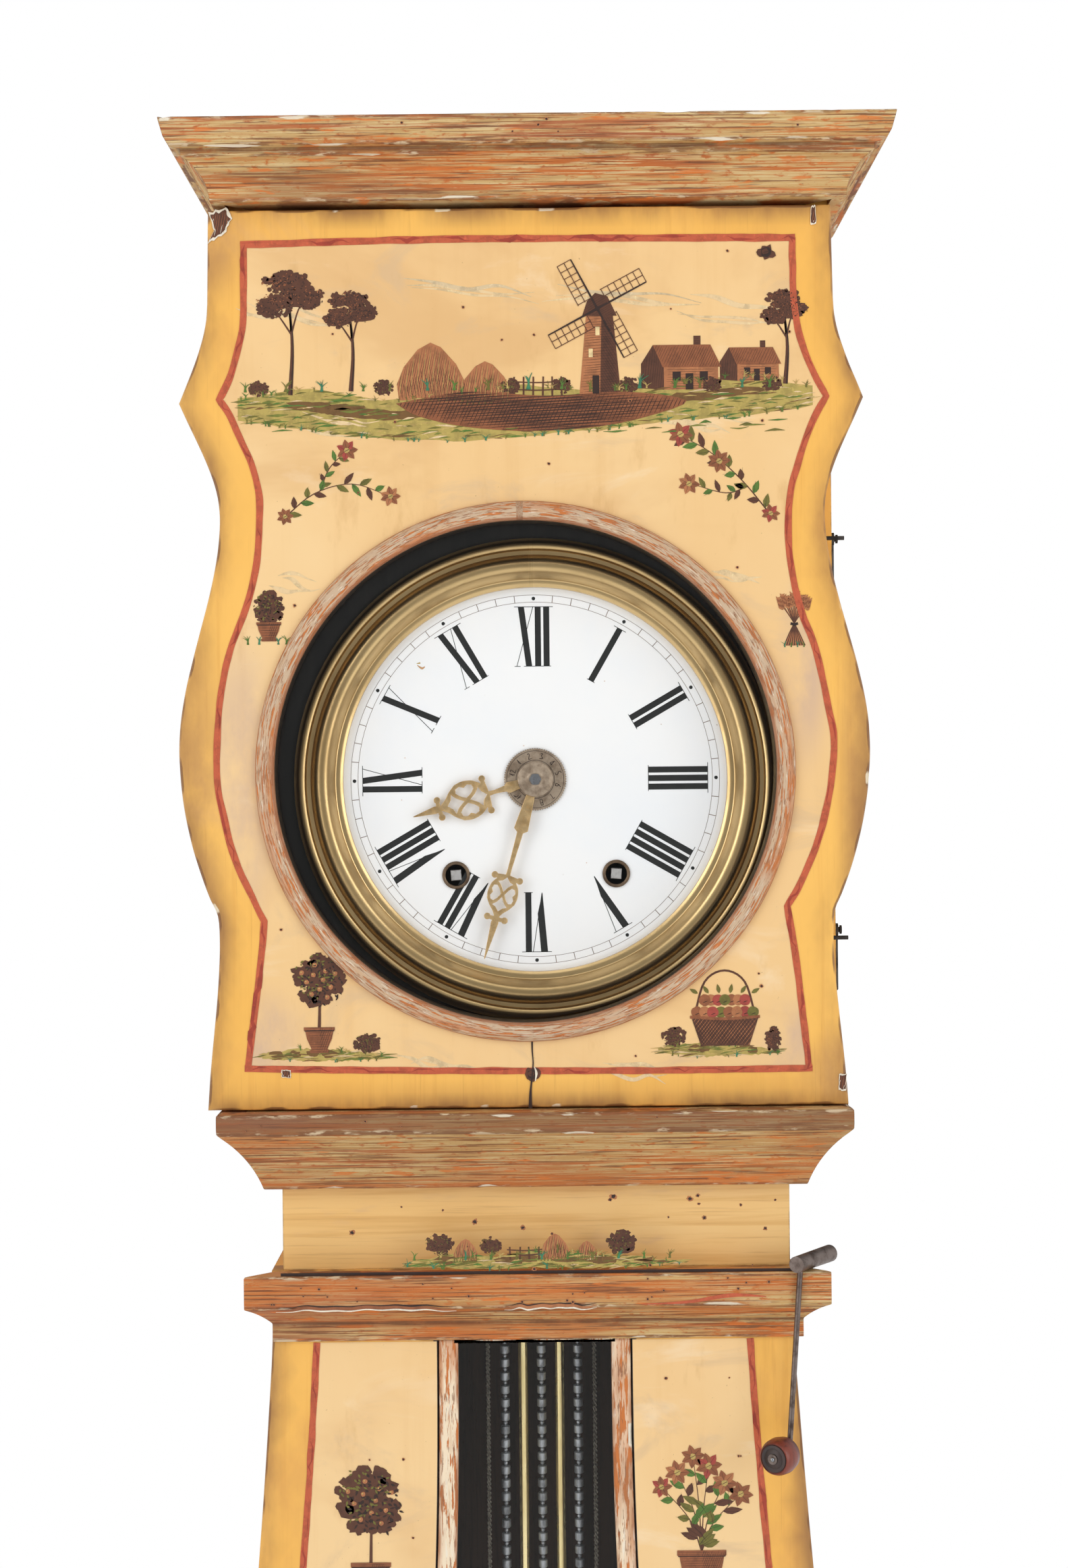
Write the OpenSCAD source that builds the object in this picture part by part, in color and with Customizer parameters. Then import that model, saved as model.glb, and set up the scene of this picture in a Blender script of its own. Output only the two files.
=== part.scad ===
// Longcase clock with a painted violin-shaped case, a glazed head door that is the
// whole front of the head, a narrow glazed trunk door, a beaded grid pendulum and a
// weight-driven iron cage movement with a strike train and a bell on top.
// Millimetres, +Z up, the front faces -Y. The origin is on the floor, at the middle
// of the plan. Heights called "up" and "drop" are measured from the dial centre.

/* [Case] */
// Height of the dial centre above the floor
dial_h = 1935; // [1915:1:1960]
// Height of the case top above the dial centre
top_up = 407.5; // [404:0.5:415]
// Depth of the case, from the cornice front to the back of the back boards
case_depth = 282; // [278:1:300]
// Width over the side boards of the head
head_w = 381; // [378:0.5:386]
// Thickness of the side boards
side_t = 15; // [12:0.5:16]
// Thickness of the back boards
back_t = 12; // [9:0.5:14]
// Thickness of the roof board
roof_t = 12; // [9:0.5:15]
// Sideways offset of the head door from the case axis
door_dx = -5.6; // [-6.5:0.1:-4]
// Sideways offset of the trunk from the case axis
trunk_dx = -4; // [-5:0.1:-2]
// Sideways offset of the dial, movement and pendulum
move_dx = 0.8; // [-1:0.1:2]

/* [Top cornice] */
// Overhang of its top edge past the head door
cornice_over = 36; // [34:0.5:40]
// Overhang of its lower edge past the head door and the head sides
cornice_base = 8; // [6:0.5:10]
// Height of the cornice
cornice_h = 46.1; // [44:0.1:50]
// Height of its hollow
cornice_cove_h = 24.2; // [20:0.1:26]
// Reach of its hollow
cornice_cove_q = 13.6; // [11:0.1:15]
// Height of the upright fillet above the hollow
cornice_fillet = 4.8; // [3:0.1:6]
// Width of the flat step under the leaning fascia
cornice_step = 6.4; // [4:0.1:8]

/* [Head door] */
// Thickness of the door board
door_t = 20; // [18:0.5:22]
// Width at the top
door_top_w = 390; // [384:0.5:394]
// Width over the two ears
door_ear_w = 428.6; // [420:0.2:432]
// Width at the upper waist
door_waist_w = 379; // [376:0.2:382]
// Width over the bulge beside the dial
door_bulge_w = 432.8; // [424:0.2:436]
// Width at the kink under the bulge
door_kink_w = 386.6; // [384:0.2:390]
// Width at the foot
door_foot_w = 401.2; // [396:0.2:404]
// Height of the shoulder where the ears begin to spread
shoulder_up = 300; // [290:1:310]
// Height of the ear tips
ear_up = 237.4; // [230:0.2:245]
// Height of the upper waist
waist_up = 166; // [160:0.5:172]
// Height of the widest part of the bulge
bulge_up = 20; // [15:0.5:25]
// Drop of the kink
kink_drop = 84; // [80:0.5:90]
// Clear gap over the door
door_head_gap = 3.4; // [2:0.1:5]
// Clear gap under the door
door_foot_gap = 1.3; // [0.8:0.1:3]
// Gap between the door and the front edges of the head sides
door_seam = 0.3; // [0.2:0.05:0.6]
// Radius of the round opening
opening_r = 157.2; // [156:0.1:160]
// Sideways offset of the opening from the middle of the door
opening_off = 0.4; // [0:0.1:5]
// Height of the opening centre above the dial centre
opening_up = 5; // [2:0.5:6]
// Width of the turned ring around the opening
ring_w = 12; // [11:0.5:16]
// Projection of the turned ring from the door
ring_proud = 7; // [5:0.5:9]
// Thickness of the dial glass
dial_glass_t = 2.5; // [2:0.1:3]
// Depth of the glass seat cut from the back of the door
glass_seat = 6.5; // [5:0.5:8]
// Width of the glass seat outside the opening
glass_lap = 7; // [5:0.5:9]

/* [Waist and neck] */
// Drop of the top of the waist moulding
waist_drop = 206.7; // [204:0.1:210]
// Height of the waist moulding
waist_h = 50.6; // [48:0.1:54]
// Overhang of its top edge past the neck
waist_over = 37; // [35:0.5:39]
// Height of its upright fascia
waist_fascia = 13.4; // [11:0.1:16]
// Overhang of its lower edge past the neck
waist_foot = 10.5; // [8:0.5:12]
// Depth of its hollow at the middle, from the straight
waist_hollow = 2.8; // [2:0.1:4]
// Width of the blunted lower edge of its fascia
waist_edge = 3; // [2:0.1:4]
// Thickness of the board inside the waist moulding
waist_board_t = 18; // [16:0.5:20]
// Width of that board outside the neck
waist_board_over = 20; // [18:0.5:22]
// Width of the neck
neck_w = 322; // [320:0.5:326]
// Sideways offset of the neck from the head
neck_dx = -1.5; // [-3:0.1:0]
// Set-back of the neck front behind the head door front
neck_set = 22; // [21:0.5:24]
// Thickness of the front boards of the neck and trunk
front_t = 18; // [16:0.5:20]

/* [Trunk] */
// Drop of the ledge on top of the trunk
ledge_drop = 310; // [306:0.5:314]
// Overhang of the trunk cornice past the trunk
ledge_over = 18.6; // [17:0.1:20]
// Height of the trunk cornice
ledge_h = 44.5; // [42:0.5:48]
// Height of its upright fascia
ledge_fascia = 20.6; // [18:0.1:23]
// Height of its hollow
ledge_cove_h = 12; // [10:0.5:14]
// Depth of its hollow at the middle, from the straight
ledge_hollow = 1; // [0.6:0.1:2]
// Sideways offset of the trunk cornice from the head
ledge_dx = -1; // [-3:0.1:0]
// Thickness of the flat band under its hollow
ledge_foot = 2.6; // [2:0.1:4]
// Set-back of the trunk front behind the head door front
trunk_set = 18; // [17:0.5:19]
// Width of the trunk under its cornice
trunk_w = 331; // [329:0.5:334]
// Width over the belly
belly_w = 440; // [425:1:444]
// Drop of the belly below the trunk cornice
belly_drop = 760; // [700:5:800]
// Width at the floor
foot_w = 396; // [380:1:410]
// Height of the skirting
plinth_h = 130; // [110:1:150]
// Thickness of the skirting
plinth_t = 13; // [10:0.5:15]
// Height of the underside of the floor board
floor_up = 60; // [40:1:75]
// Thickness of the floor board
floor_t = 18; // [15:0.5:20]

/* [Trunk door] */
// Sideways offset of the window from the case axis
window_dx = -3.3; // [-4:0.1:-2]
// Width of the window at its top and bottom
window_w = 97.4; // [94:0.2:102]
// Width of the window beside the bob
window_belly_w = 170; // [150:1:176]
// Drop of the widest part below the trunk cornice
window_belly_drop = 620; // [590:5:650]
// Length of the door
trunk_door_l = 905; // [880:5:940]
// Width of the door stiles
stile_w = 12; // [10:0.5:14]
// Height of the bottom rail
rail_h = 30; // [24:1:40]
// Height of the thin top rail
head_rail_h = 5; // [4:0.5:7]
// Thickness of the door
trunk_door_t = 10; // [9:0.5:11]
// Gap around the door
trunk_door_gap = 0.7; // [0.6:0.05:1]
// Depth of the glass behind the door front
window_glass_set = 6; // [5:0.5:7]
// Thickness of the window glass
window_glass_t = 2; // [1.5:0.1:2.5]
// Lap of the window glass on the stiles
window_lap = 5; // [4:0.5:6]
// Drop of the hinges below the trunk cornice, upper one
trunk_hinge_a = 185; // [175:1:200]

/* [Irons] */
// Radius of the head door hinge knuckles
knuckle_r = 3.2; // [2.8:0.1:3.4]
// Length of each head door hinge
hinge_l = 60; // [48:1:66]
// Thickness of the hinge leaves
leaf_t = 1.5; // [1.2:0.1:1.8]
// Width of the hinge leaves
leaf_w = 26; // [20:1:30]
// Radius of the hinge pins
hinge_pin_r = 1.5; // [1.2:0.1:1.7]
// Running clearance of pins and arbors
run_gap = 0.05; // [0.03:0.01:0.09]
// Radius of the trunk door hinge knuckles
small_knuckle_r = 2.6; // [2.4:0.1:2.8]
// Length of each trunk door hinge
small_hinge_l = 42; // [36:1:48]
// Length of the side hooks
hook_l = 38; // [34:1:42]
// Wire radius of the side hooks
hook_r = 1.2; // [1:0.1:1.4]
// Height of the upper hook
hook_up = 150; // [146:0.5:154]
// Drop of the lower hook
hook_drop = 101.8; // [98:0.2:106]
// Radius of the pegs on the door edge
peg_r = 1.3; // [1:0.1:1.6]
// Length of the turn button
button_l = 40; // [34:1:46]
// Width of the turn button
button_w = 12; // [10:0.5:14]

/* [Dial] */
// Radius of the enamel dial
dial_r = 126; // [125:0.5:128]
// Radius of the dial that the bezel leaves open
dial_open_r = 123; // [121:0.5:124]
// Outer radius of the brass surround
bezel_r = 154; // [152:0.5:156]
// Radius of the crown of the surround
bezel_crown_r = 136; // [134:0.5:138]
// Depth of the surround's crown behind the door front
bezel_set = 22; // [21:0.5:24]
// Depth of the enamel behind the door front
dial_set = 37.2; // [36.6:0.1:38]
// Thickness of the enamel dial
dial_t = 2.4; // [2:0.1:3]
// Radius of the centre hole of the dial
dial_hole_r = 7.4; // [7:0.1:7.8]
// Radius of the winding holes
wind_hole_r = 6.7; // [6.2:0.1:7.2]
// Width of the brass eyelets round the winding holes
eyelet_w = 2.2; // [1.8:0.1:2.6]
// Sideways distance of the winding holes from the dial centre
wind_x = 51.4; // [51:0.1:52]
// Drop of the winding holes
wind_drop = 61; // [60.5:0.1:61.5]
// Thickness of the board round the dial
mask_t = 6; // [5:0.5:8]
// Length of the minute hand
minute_l = 119.5; // [112:0.5:121]
// Length of the hour hand
hour_l = 82; // [78:0.5:88]
// Thickness of the hands
hand_t = 1.2; // [1:0.1:1.4]
// Clock angle of the minute hand, clockwise from twelve
minute_a = 196.4; // [0:0.1:360]
// Clock angle of the hour hand, clockwise from twelve
hour_a = 253.4; // [0:0.1:360]
// Radius of the alarm disc
alarm_r = 20.2; // [19:0.1:22]

/* [Movement] */
// Width of the cage
cage_w = 230; // [222:1:240]
// Depth of the cage between its front and back straps
cage_d = 122; // [118:1:126]
// Depth of the cage front behind the head door front
cage_set = 98; // [97:0.5:100]
// Height of the cage top above the dial centre
cage_up = 116; // [112:0.5:124]
// Drop of the cage foot
cage_drop = 122; // [116:0.5:126]
// Thickness of the cage plates
plate_t = 4; // [3:0.25:5]
// Thickness of the upright straps
strap_t = 4; // [3:0.25:5]
// Side of the square pillars
pillar_w = 8; // [6:0.5:10]
// Thickness of the seat board
seat_t = 18; // [15:0.5:20]
// Radius of the train arbors
arbor_r = 2; // [1.6:0.1:2.1]
// Radius of the winding arbors
wind_arbor_r = 3.5; // [3:0.1:3.9]
// Side of the winding squares
wind_square = 5.6; // [5:0.1:6]
// Radius of the barrels with their line
barrel_r = 13; // [12:0.1:14]
// Radius of the barrel flanges
flange_r = 20; // [18:0.5:21]
// Thickness of the barrel flanges
flange_t = 2; // [1.5:0.1:3]
// Radius of the lines
line_r = 1.25; // [1:0.05:1.4]
// Thickness of the great wheels
great_t = 4; // [3:0.25:5]
// Thickness of the other wheels
wheel_t = 2; // [1.5:0.1:2.5]
// Height of the anchor arbor and pendulum suspension above the dial centre
anchor_up = 88; // [86:0.5:92]
// Height of the escape wheel arbor above the dial centre
escape_up = 50; // [49:0.5:51]
// Radius of the escape wheel
escape_r = 15; // [14:0.5:16]
// Radius of the bell mouth
bell_r = 60; // [50:1:66]
// Height of the bell
bell_h = 52; // [44:1:60]
// Thickness of the bell
bell_t = 3; // [2:0.25:4]
// Length of the bell post above the cage
bell_post_l = 100; // [90:1:115]

/* [Pendulum and weights] */
// Depth of the pendulum behind the head door front
pend_set = 75; // [74:0.5:76]
// Height of the bob centre above the floor
bob_z = 1000; // [980:1:1020]
// Radius of the bob
bob_r = 78; // [70:1:80]
// Thickness of the bob
bob_t = 26; // [20:1:30]
// Height of the top of the grid above the floor
grid_top = 1690; // [1660:1:1700]
// Height of the foot of the grid above the floor
grid_foot = 1098; // [1090:1:1110]
// Spacing between the beaded columns
column_pitch = 24; // [22:0.5:25]
// Radius of the column segments
segment_r = 3; // [2.6:0.1:3.2]
// Radius of the neck that stands for each bead
bead_r = 1.5; // [1.2:0.1:1.8]
// Pitch of the segments
bead_pitch = 8.8; // [8.4:0.1:9.2]
// Height of each segment
segment_h = 5.4; // [5:0.1:6]
// Radius of the brass rods
rod_r = 3.2; // [2.8:0.1:3.4]
// Half width of the loop that passes round the hand arbor
stirrup_r = 15; // [13:0.5:17]
// Radius of the weights
weight_r = 33; // [30:0.5:34]
// Height of the weights
weight_h = 160; // [140:1:170]
// Height of the weight centres above the floor
weight_z = 1150; // [1100:1:1200]

/* [Crank] */
// Sideways place of the crank rod on the ledge
crank_x = 163.5; // [160:0.5:166]
// Distance from the closed end of the socket to the rod
socket_grip = 5.5; // [5:0.5:8]
// Length of the crank socket
socket_l = 44; // [38:0.5:48]
// Radius of the socket at its closed end
socket_r0 = 5.1; // [4.6:0.1:5.2]
// Radius of the socket at its open end
socket_r1 = 5.4; // [5.2:0.1:6]
// Angle of the socket in plan
socket_yaw = 35; // [30:1:40]
// Radius of the crank rod
crank_rod_r = 1.75; // [1.5:0.05:2]
// Drop of the crank knob below the socket
crank_l = 117.5; // [110:0.5:124]
// Lean of the rod towards the case over its drop
crank_lean = 8.3; // [6:0.1:10]
// Radius of the crank knob
knob_r = 11.5; // [10:0.5:12]
// Length of the crank knob
knob_l = 18; // [15:0.5:19]
// Radius of the knob pin
knob_pin_r = 2; // [1.6:0.1:2.4]

/* [Hidden] */
$fn = 64;

// Main planes and heights
top_z = dial_h + top_up;
front_y = -case_depth / 2 + cornice_over;
back_y = case_depth / 2;
back_in = back_y - back_t;
carcass_y = front_y + door_t + door_seam;
head_half = head_w / 2;
waist_z = dial_h - waist_drop;
neck_z = waist_z - waist_h;
neck_half = neck_w / 2;
neck_y = front_y + neck_set;
ledge_z = dial_h - ledge_drop;
trunk_z = ledge_z - ledge_h;
trunk_half = trunk_w / 2;
trunk_y = front_y + trunk_set;
cornice_z = top_z - cornice_h;
seat_z = dial_h - cage_drop;
cage_y = front_y + cage_set;
cage_back_y = cage_y + cage_d;
inner_y = cage_y + strap_t;
pend_y = front_y + pend_set;

// A board of the given outline, standing in the plane of the front
module slab(y, t)
    translate([0, y + t, 0]) rotate([90, 0, 0]) linear_extrude(height = t) children();

// A round bar that runs from front to back
module bar_y(x, y, z, r, l)
    translate([x, y + l, z]) rotate([90, 0, 0]) cylinder(r = r, h = l);

// A round bar that runs across
module bar_x(x, y, z, r, l)
    translate([x, y, z]) rotate([0, 90, 0]) cylinder(r = r, h = l);

module box(x0, x1, y0, y1, z0, z1)
    translate([x0, y0, z0]) cube([x1 - x0, y1 - y0, z1 - z0]);

module both_sides() {
    children();
    mirror([1, 0, 0]) children();
}

// A smooth run of [half width, height] points between two levels, with the
// slope of the outline at each end
function run(a, b, m0, m1, n) =
    let (h = b[1] - a[1])
    [for (i = [0:n])
        let (s = i / n, c = 3 * s * s - 2 * s * s * s)
        [a[0] * (1 - c) + b[0] * c + m0 * h * (s * s * s - 2 * s * s + s)
            + m1 * h * (s * s * s - s * s), a[1] + h * s]];

// The closed outline whose right half is the given list, from top to bottom
function whole(side) =
    concat(side, [for (i = [len(side) - 1:-1:0]) [-side[i][0], side[i][1]]]);

// A hollow that rises from an upright start: reach and height of each point
function cove(q, h, n = 8) =
    let (r = (q * q + h * h) / (2 * q))
    [for (i = [0:n]) let (z = h * i / n) [r - sqrt(r * r - z * z), z]];

// A shallow hollow from the foot [0, 0] to [q, h], bowed inwards by sag
function shallow(q, h, sag, n = 10) =
    let (span = norm([q, h]), r = span * span / (8 * sag) + sag / 2,
        turn = asin(span / 2 / r), aim = atan2(h, q))
    [for (i = [0:n]) let (a = aim + 90 + turn - 2 * turn * i / n)
        [q / 2 + (r - sag) * sin(aim) + r * cos(a), h / 2 - (r - sag) * cos(aim) + r * sin(a)]];

// Three mitred lengths of moulding round a front corner at half_w, y_f. The
// profile gives reach and height; in_side and in_front are its thickness inwards.
module mitred(half_w, y_f, y_b, z, profile, in_side, in_front, returns = true) {
    far = 60;
    top = profile[len(profile) - 1][1];
    tall = top + 2;
    front_plan = concat(
        in_front > 0 ? [[-half_w, y_f + in_front], [half_w, y_f + in_front]] : [],
        [[half_w, y_f], [half_w + far, y_f - far], [-half_w - far, y_f - far],
         [-half_w, y_f]]);
    side_plan = concat(
        in_side > 0 ? [[half_w - in_side, y_f + in_front]] : [],
        in_front > 0 ? [[half_w, y_f + in_front]] : [],
        [[half_w, y_f], [half_w + far, y_f - far], [half_w + far, y_b],
         [half_w - in_side, y_b]]);
    intersection() {
        translate([-half_w - far, 0, z]) rotate([90, 0, 90])
            linear_extrude(height = 2 * (half_w + far))
            polygon(concat([for (p = profile) [y_f - p[0], p[1]]],
                [[y_f + in_front, top], [y_f + in_front, profile[0][1]]]));
        translate([0, 0, z - 1]) linear_extrude(height = tall) polygon(front_plan);
    }
    if (returns) both_sides() intersection() {
        translate([0, y_b, z]) rotate([90, 0, 0])
            linear_extrude(height = y_b - y_f + far)
            polygon(concat([for (p = profile) [half_w + p[0], p[1]]],
                [[half_w - in_side, top], [half_w - in_side, profile[0][1]]]));
        translate([0, 0, z - 1]) linear_extrude(height = tall) polygon(side_plan);
    }
}

// Outline of the trunk: half width at a drop below the trunk cornice
belly_half = belly_w / 2;
foot_half = foot_w / 2;
trunk_points = concat(
    [[trunk_half, ledge_z]],
    run([trunk_half, trunk_z], [belly_half, trunk_z - belly_drop], -0.055, 0, 16),
    [for (i = [1:12]) run([belly_half, trunk_z - belly_drop], [foot_half, plinth_h], 0, 0, 12)[i]],
    [[foot_half, 0]]);

// Outline of the window: half width at a share of the way to its widest part
function window_half(t) =
    let (k = t < window_belly_drop
        ? pow(max(t, 0) / window_belly_drop, 1.25)
        : max(0, 1 - (t - window_belly_drop) / (trunk_door_l - window_belly_drop)))
    window_w / 2 + (window_belly_w - window_w) / 4 * (1 - cos(180 * k));

// Points of the window outline grown by a margin, between two drops
function window_points(grow, t0, t1, n = 26) =
    whole([for (i = [0:n]) let (t = t0 + (t1 - t0) * i / n)
        [window_half(t) + grow, trunk_z - t]]);

module plinth_skirting() {
    color([0.55, 0.33, 0.18]) translate([trunk_dx, 0, 0])
        mitred(foot_half, trunk_y, back_y, 0,
            [[0, 0], [plinth_t, 0], [plinth_t, plinth_h - 12], [plinth_t * 0.5, plinth_h],
             [0, plinth_h]], 0, 0);
}

module floor_board() {
    color([0.6, 0.45, 0.28])
        box(trunk_dx - foot_half + side_t, trunk_dx + foot_half - side_t,
            trunk_y + front_t, back_in, floor_up, floor_up + floor_t);
}

module trunk_front() {
    color([0.91, 0.76, 0.48]) difference() {
        translate([trunk_dx, 0, 0]) slab(trunk_y, front_t) polygon(whole(trunk_points));
        translate([window_dx, 0, 0]) slab(trunk_y - 1, front_t + 2)
            polygon(window_points(stile_w + trunk_door_gap, -trunk_door_gap,
                trunk_door_l + trunk_door_gap));
        for (z = small_hinge_z)
            translate([small_hinge_x, trunk_y, z - small_hinge_l / 2 - 1])
                cylinder(r = small_knuckle_r + 0.3, h = small_hinge_l + 2);
        bar_y(button_x, trunk_y - 1, button_z, button_pin_r, front_t + 2);
    }
}

module trunk_sides() {
    color([0.82, 0.62, 0.3]) translate([trunk_dx, 0, 0]) both_sides()
        slab(trunk_y + front_t, back_in - trunk_y - front_t)
        polygon(concat(trunk_points,
            [for (i = [len(trunk_points) - 1:-1:0])
                [trunk_points[i][0] - side_t, trunk_points[i][1]]]));
}

module trunk_back() {
    color([0.5, 0.38, 0.26]) translate([trunk_dx, 0, 0]) slab(back_in, back_t)
        polygon(whole(trunk_points));
}

// The trunk cornice lies on the front alone, with its ends cut to a mitre
module trunk_cornice() {
    foot = ledge_foot;
    low = ledge_h - ledge_fascia - ledge_cove_h;
    hollow = shallow(ledge_over - foot, ledge_cove_h, ledge_hollow);
    color([0.77, 0.47, 0.26]) translate([ledge_dx, 0, 0])
        mitred(trunk_half, trunk_y, back_y, trunk_z, concat(
            [[0, 0], [foot, 0]],
            [for (p = hollow) [foot + p[0], low + p[1]]],
            [[ledge_over, ledge_h], [0, ledge_h]]), 0, 0, false);
}

module neck_boards() {
    color([0.85, 0.68, 0.42]) translate([neck_dx, 0, 0]) {
        box(-neck_half, neck_half, neck_y, neck_y + front_t, ledge_z, neck_z);
        both_sides() box(neck_half - side_t, neck_half, neck_y + front_t, back_in, ledge_z, neck_z);
        difference() {
            box(-neck_half, neck_half, neck_y, back_in, neck_z, waist_z - waist_board_t);
            box(-neck_half + side_t, neck_half - side_t, neck_y + front_t, back_in + 1,
                neck_z - 1, waist_z);
        }
        difference() {
            box(-neck_half - waist_board_over, neck_half + waist_board_over,
                neck_y - waist_board_over, back_in, waist_z - waist_board_t, waist_z);
            box(-neck_half + side_t, neck_half - side_t, neck_y + front_t, back_in - 30,
                waist_z - waist_board_t - 1, waist_z + 1);
        }
    }
}

module waist_moulding() {
    cove_h = waist_h - waist_fascia;
    hollow = shallow(waist_over - waist_foot - waist_edge, cove_h - waist_edge / 2, waist_hollow);
    color([0.77, 0.47, 0.26]) translate([neck_dx, 0, 0]) difference() {
        mitred(neck_half, neck_y, back_y, neck_z, concat(
            [[0, 0]],
            [for (p = hollow) [waist_foot + p[0], p[1]]],
            [[waist_over, cove_h + waist_edge / 2], [waist_over, waist_h], [0, waist_h]]),
            0, 0);
        box(-neck_half - waist_board_over, neck_half + waist_board_over,
            neck_y - waist_board_over, back_in, waist_z - waist_board_t, waist_z + 1);
    }
}

module head_sides() {
    color([0.8, 0.6, 0.3]) both_sides()
        box(head_half - side_t, head_half, carcass_y, back_in, waist_z, top_z - roof_t);
}

module head_back() {
    color([0.5, 0.38, 0.26]) {
        box(-head_half, head_half, back_in, back_y, waist_z, top_z - roof_t);
        box(neck_dx - neck_half, neck_dx + neck_half, back_in, back_y, ledge_z, waist_z);
    }
}

module roof_board() {
    color([0.35, 0.27, 0.2])
        box(-head_half, head_half, carcass_y, back_y, top_z - roof_t, top_z);
}

module top_cornice() {
    rise = cornice_over - cornice_base;
    c = cornice_cove_q;
    hollow = cove(c, cornice_cove_h);
    step_z = cornice_cove_h + cornice_fillet;
    color([0.77, 0.47, 0.26])
        mitred(head_half + cornice_base, front_y - cornice_base, back_y, cornice_z, concat(
            hollow,
            [[c + 2, cornice_cove_h + 0.6], [c + 2, step_z], [c + 2 + cornice_step, step_z + 0.8],
             [c + 5 + cornice_step, step_z + 6], [rise, cornice_h]]),
            cornice_base, door_t + door_seam + cornice_base);
}

// The movement's seat: a board on two cheeks that stand on the waist board
cheek_t = 20;
seat_front_y = cage_y - 3;
module seat_board() {
    color([0.42, 0.32, 0.22]) {
        difference() {
            box(-head_half + side_t, head_half - side_t, seat_front_y, back_in - 2,
                seat_z - seat_t, seat_z);
            for (s = [-1, 1])
                box(move_dx + s * line_x - 14, move_dx + s * line_x + 14, inner_y + 2,
                    cage_back_y - 4, seat_z - seat_t - 1, seat_z + 1);
        }
        both_sides() box(head_half - side_t - cheek_t, head_half - side_t, seat_front_y,
            back_in - 2, waist_z, seat_z - seat_t);
    }
}

mask_y = front_y + 33.3;
module dial_mask() {
    color([0.06, 0.05, 0.05]) difference() {
        box(-head_half + side_t, head_half - side_t, mask_y, mask_y + mask_t,
            waist_z + 40, dial_h + 190);
        bar_y(move_dx, mask_y - 1, dial_h, bezel_r - 4, mask_t + 2);
    }
}

// Hinge axis of the head door, just outside the left side board
hinge_x = -head_half - knuckle_r - 0.5;
hinge_y = front_y + door_t;
hinge_z = [dial_h + waist_up, dial_h - kink_drop - 26];
hinge_third = hinge_l / 3;

// Hinge axis of the trunk door, in the plane of the trunk front
small_hinge_x = window_dx - window_half(trunk_hinge_a) - stile_w - trunk_door_gap / 2;
function match_drop(t) = window_belly_drop
    + (1 - pow(t / window_belly_drop, 1.25)) * (trunk_door_l - window_belly_drop);
small_hinge_z = [trunk_z - trunk_hinge_a, trunk_z - match_drop(trunk_hinge_a)];
small_third = small_hinge_l / 3;
small_leaf_t = 1.2;
small_leaf_w = 10;

hook_x = head_half + 2;
hook_y = front_y + 45;
hook_pin_r = 1.7;
hook_heights = [dial_h + hook_up, dial_h - hook_drop] + (peg_r + hook_r + 0.4) * [1, 1];
peg_y = front_y + door_t / 2;
peg_x = door_dx + door_waist_w / 2 - 10;
peg_heights = [dial_h + hook_up, dial_h - hook_drop];
peg_out = 6.5;

button_pin_r = 2.5;
button_x = window_dx + window_belly_w / 2 + stile_w + 12;
button_z = trunk_z - window_belly_drop;

// Clear gap at each end of a hinge knuckle
knuckle_gap = 0.15;

// The two outer knuckles of a hinge whose middle is at height z
module outer_knuckles(z, third, r) {
    for (s = [-1, 1]) translate([0, 0, z + s * third - third / 2 + knuckle_gap])
        cylinder(r = r, h = third - 2 * knuckle_gap);
}

// The strips that join the outer knuckles to their leaf, in plan from x0, y0 to x1, y1
module outer_strips(x0, x1, y0, y1, z, third) {
    for (s = [-1, 1]) box(x0, x1, y0, y1, z + s * third - third / 2 + knuckle_gap,
        z + s * third + third / 2 - knuckle_gap);
}

small_pin_r = hinge_pin_r - 0.3;
hook_pin_l = 2 * hook_r + 3.2;
module case_irons() {
    color([0.22, 0.2, 0.19]) {
        // Fixed leaves of the head door hinges, with their pins
        for (z = hinge_z) {
            translate([hinge_x, hinge_y, 0]) outer_knuckles(z, hinge_third, knuckle_r);
            translate([hinge_x, hinge_y, z - hinge_l / 2 + knuckle_gap])
                cylinder(r = hinge_pin_r, h = hinge_l - 2 * knuckle_gap);
            outer_strips(hinge_x + 1, -head_half, hinge_y, hinge_y + knuckle_r + 3, z, hinge_third);
            box(-head_half - leaf_t, -head_half, hinge_y + knuckle_r + 1, hinge_y + leaf_w,
                z - hinge_l / 2 + knuckle_gap, z + hinge_l / 2 - knuckle_gap);
        }
        // Fixed leaves of the trunk door hinges, with their pins
        for (z = small_hinge_z) {
            translate([small_hinge_x, trunk_y, 0]) outer_knuckles(z, small_third, small_knuckle_r);
            translate([small_hinge_x, trunk_y, z - small_hinge_l / 2 + knuckle_gap])
                cylinder(r = small_pin_r, h = small_hinge_l - 2 * knuckle_gap);
            outer_strips(small_hinge_x - small_leaf_w, small_hinge_x, trunk_y - small_leaf_t,
                trunk_y, z, small_third);
        }
        // Pins that carry the side hooks, with a collar and a head
        for (z = hook_heights) {
            bar_x(head_half, hook_y, z, hook_pin_r, hook_pin_l);
            bar_x(head_half + hook_pin_l, hook_y, z, hook_pin_r + 1.1, 1.2);
            bar_x(head_half, hook_y, z, hook_pin_r + 1.6, 1.6);
        }
    }
}

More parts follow.
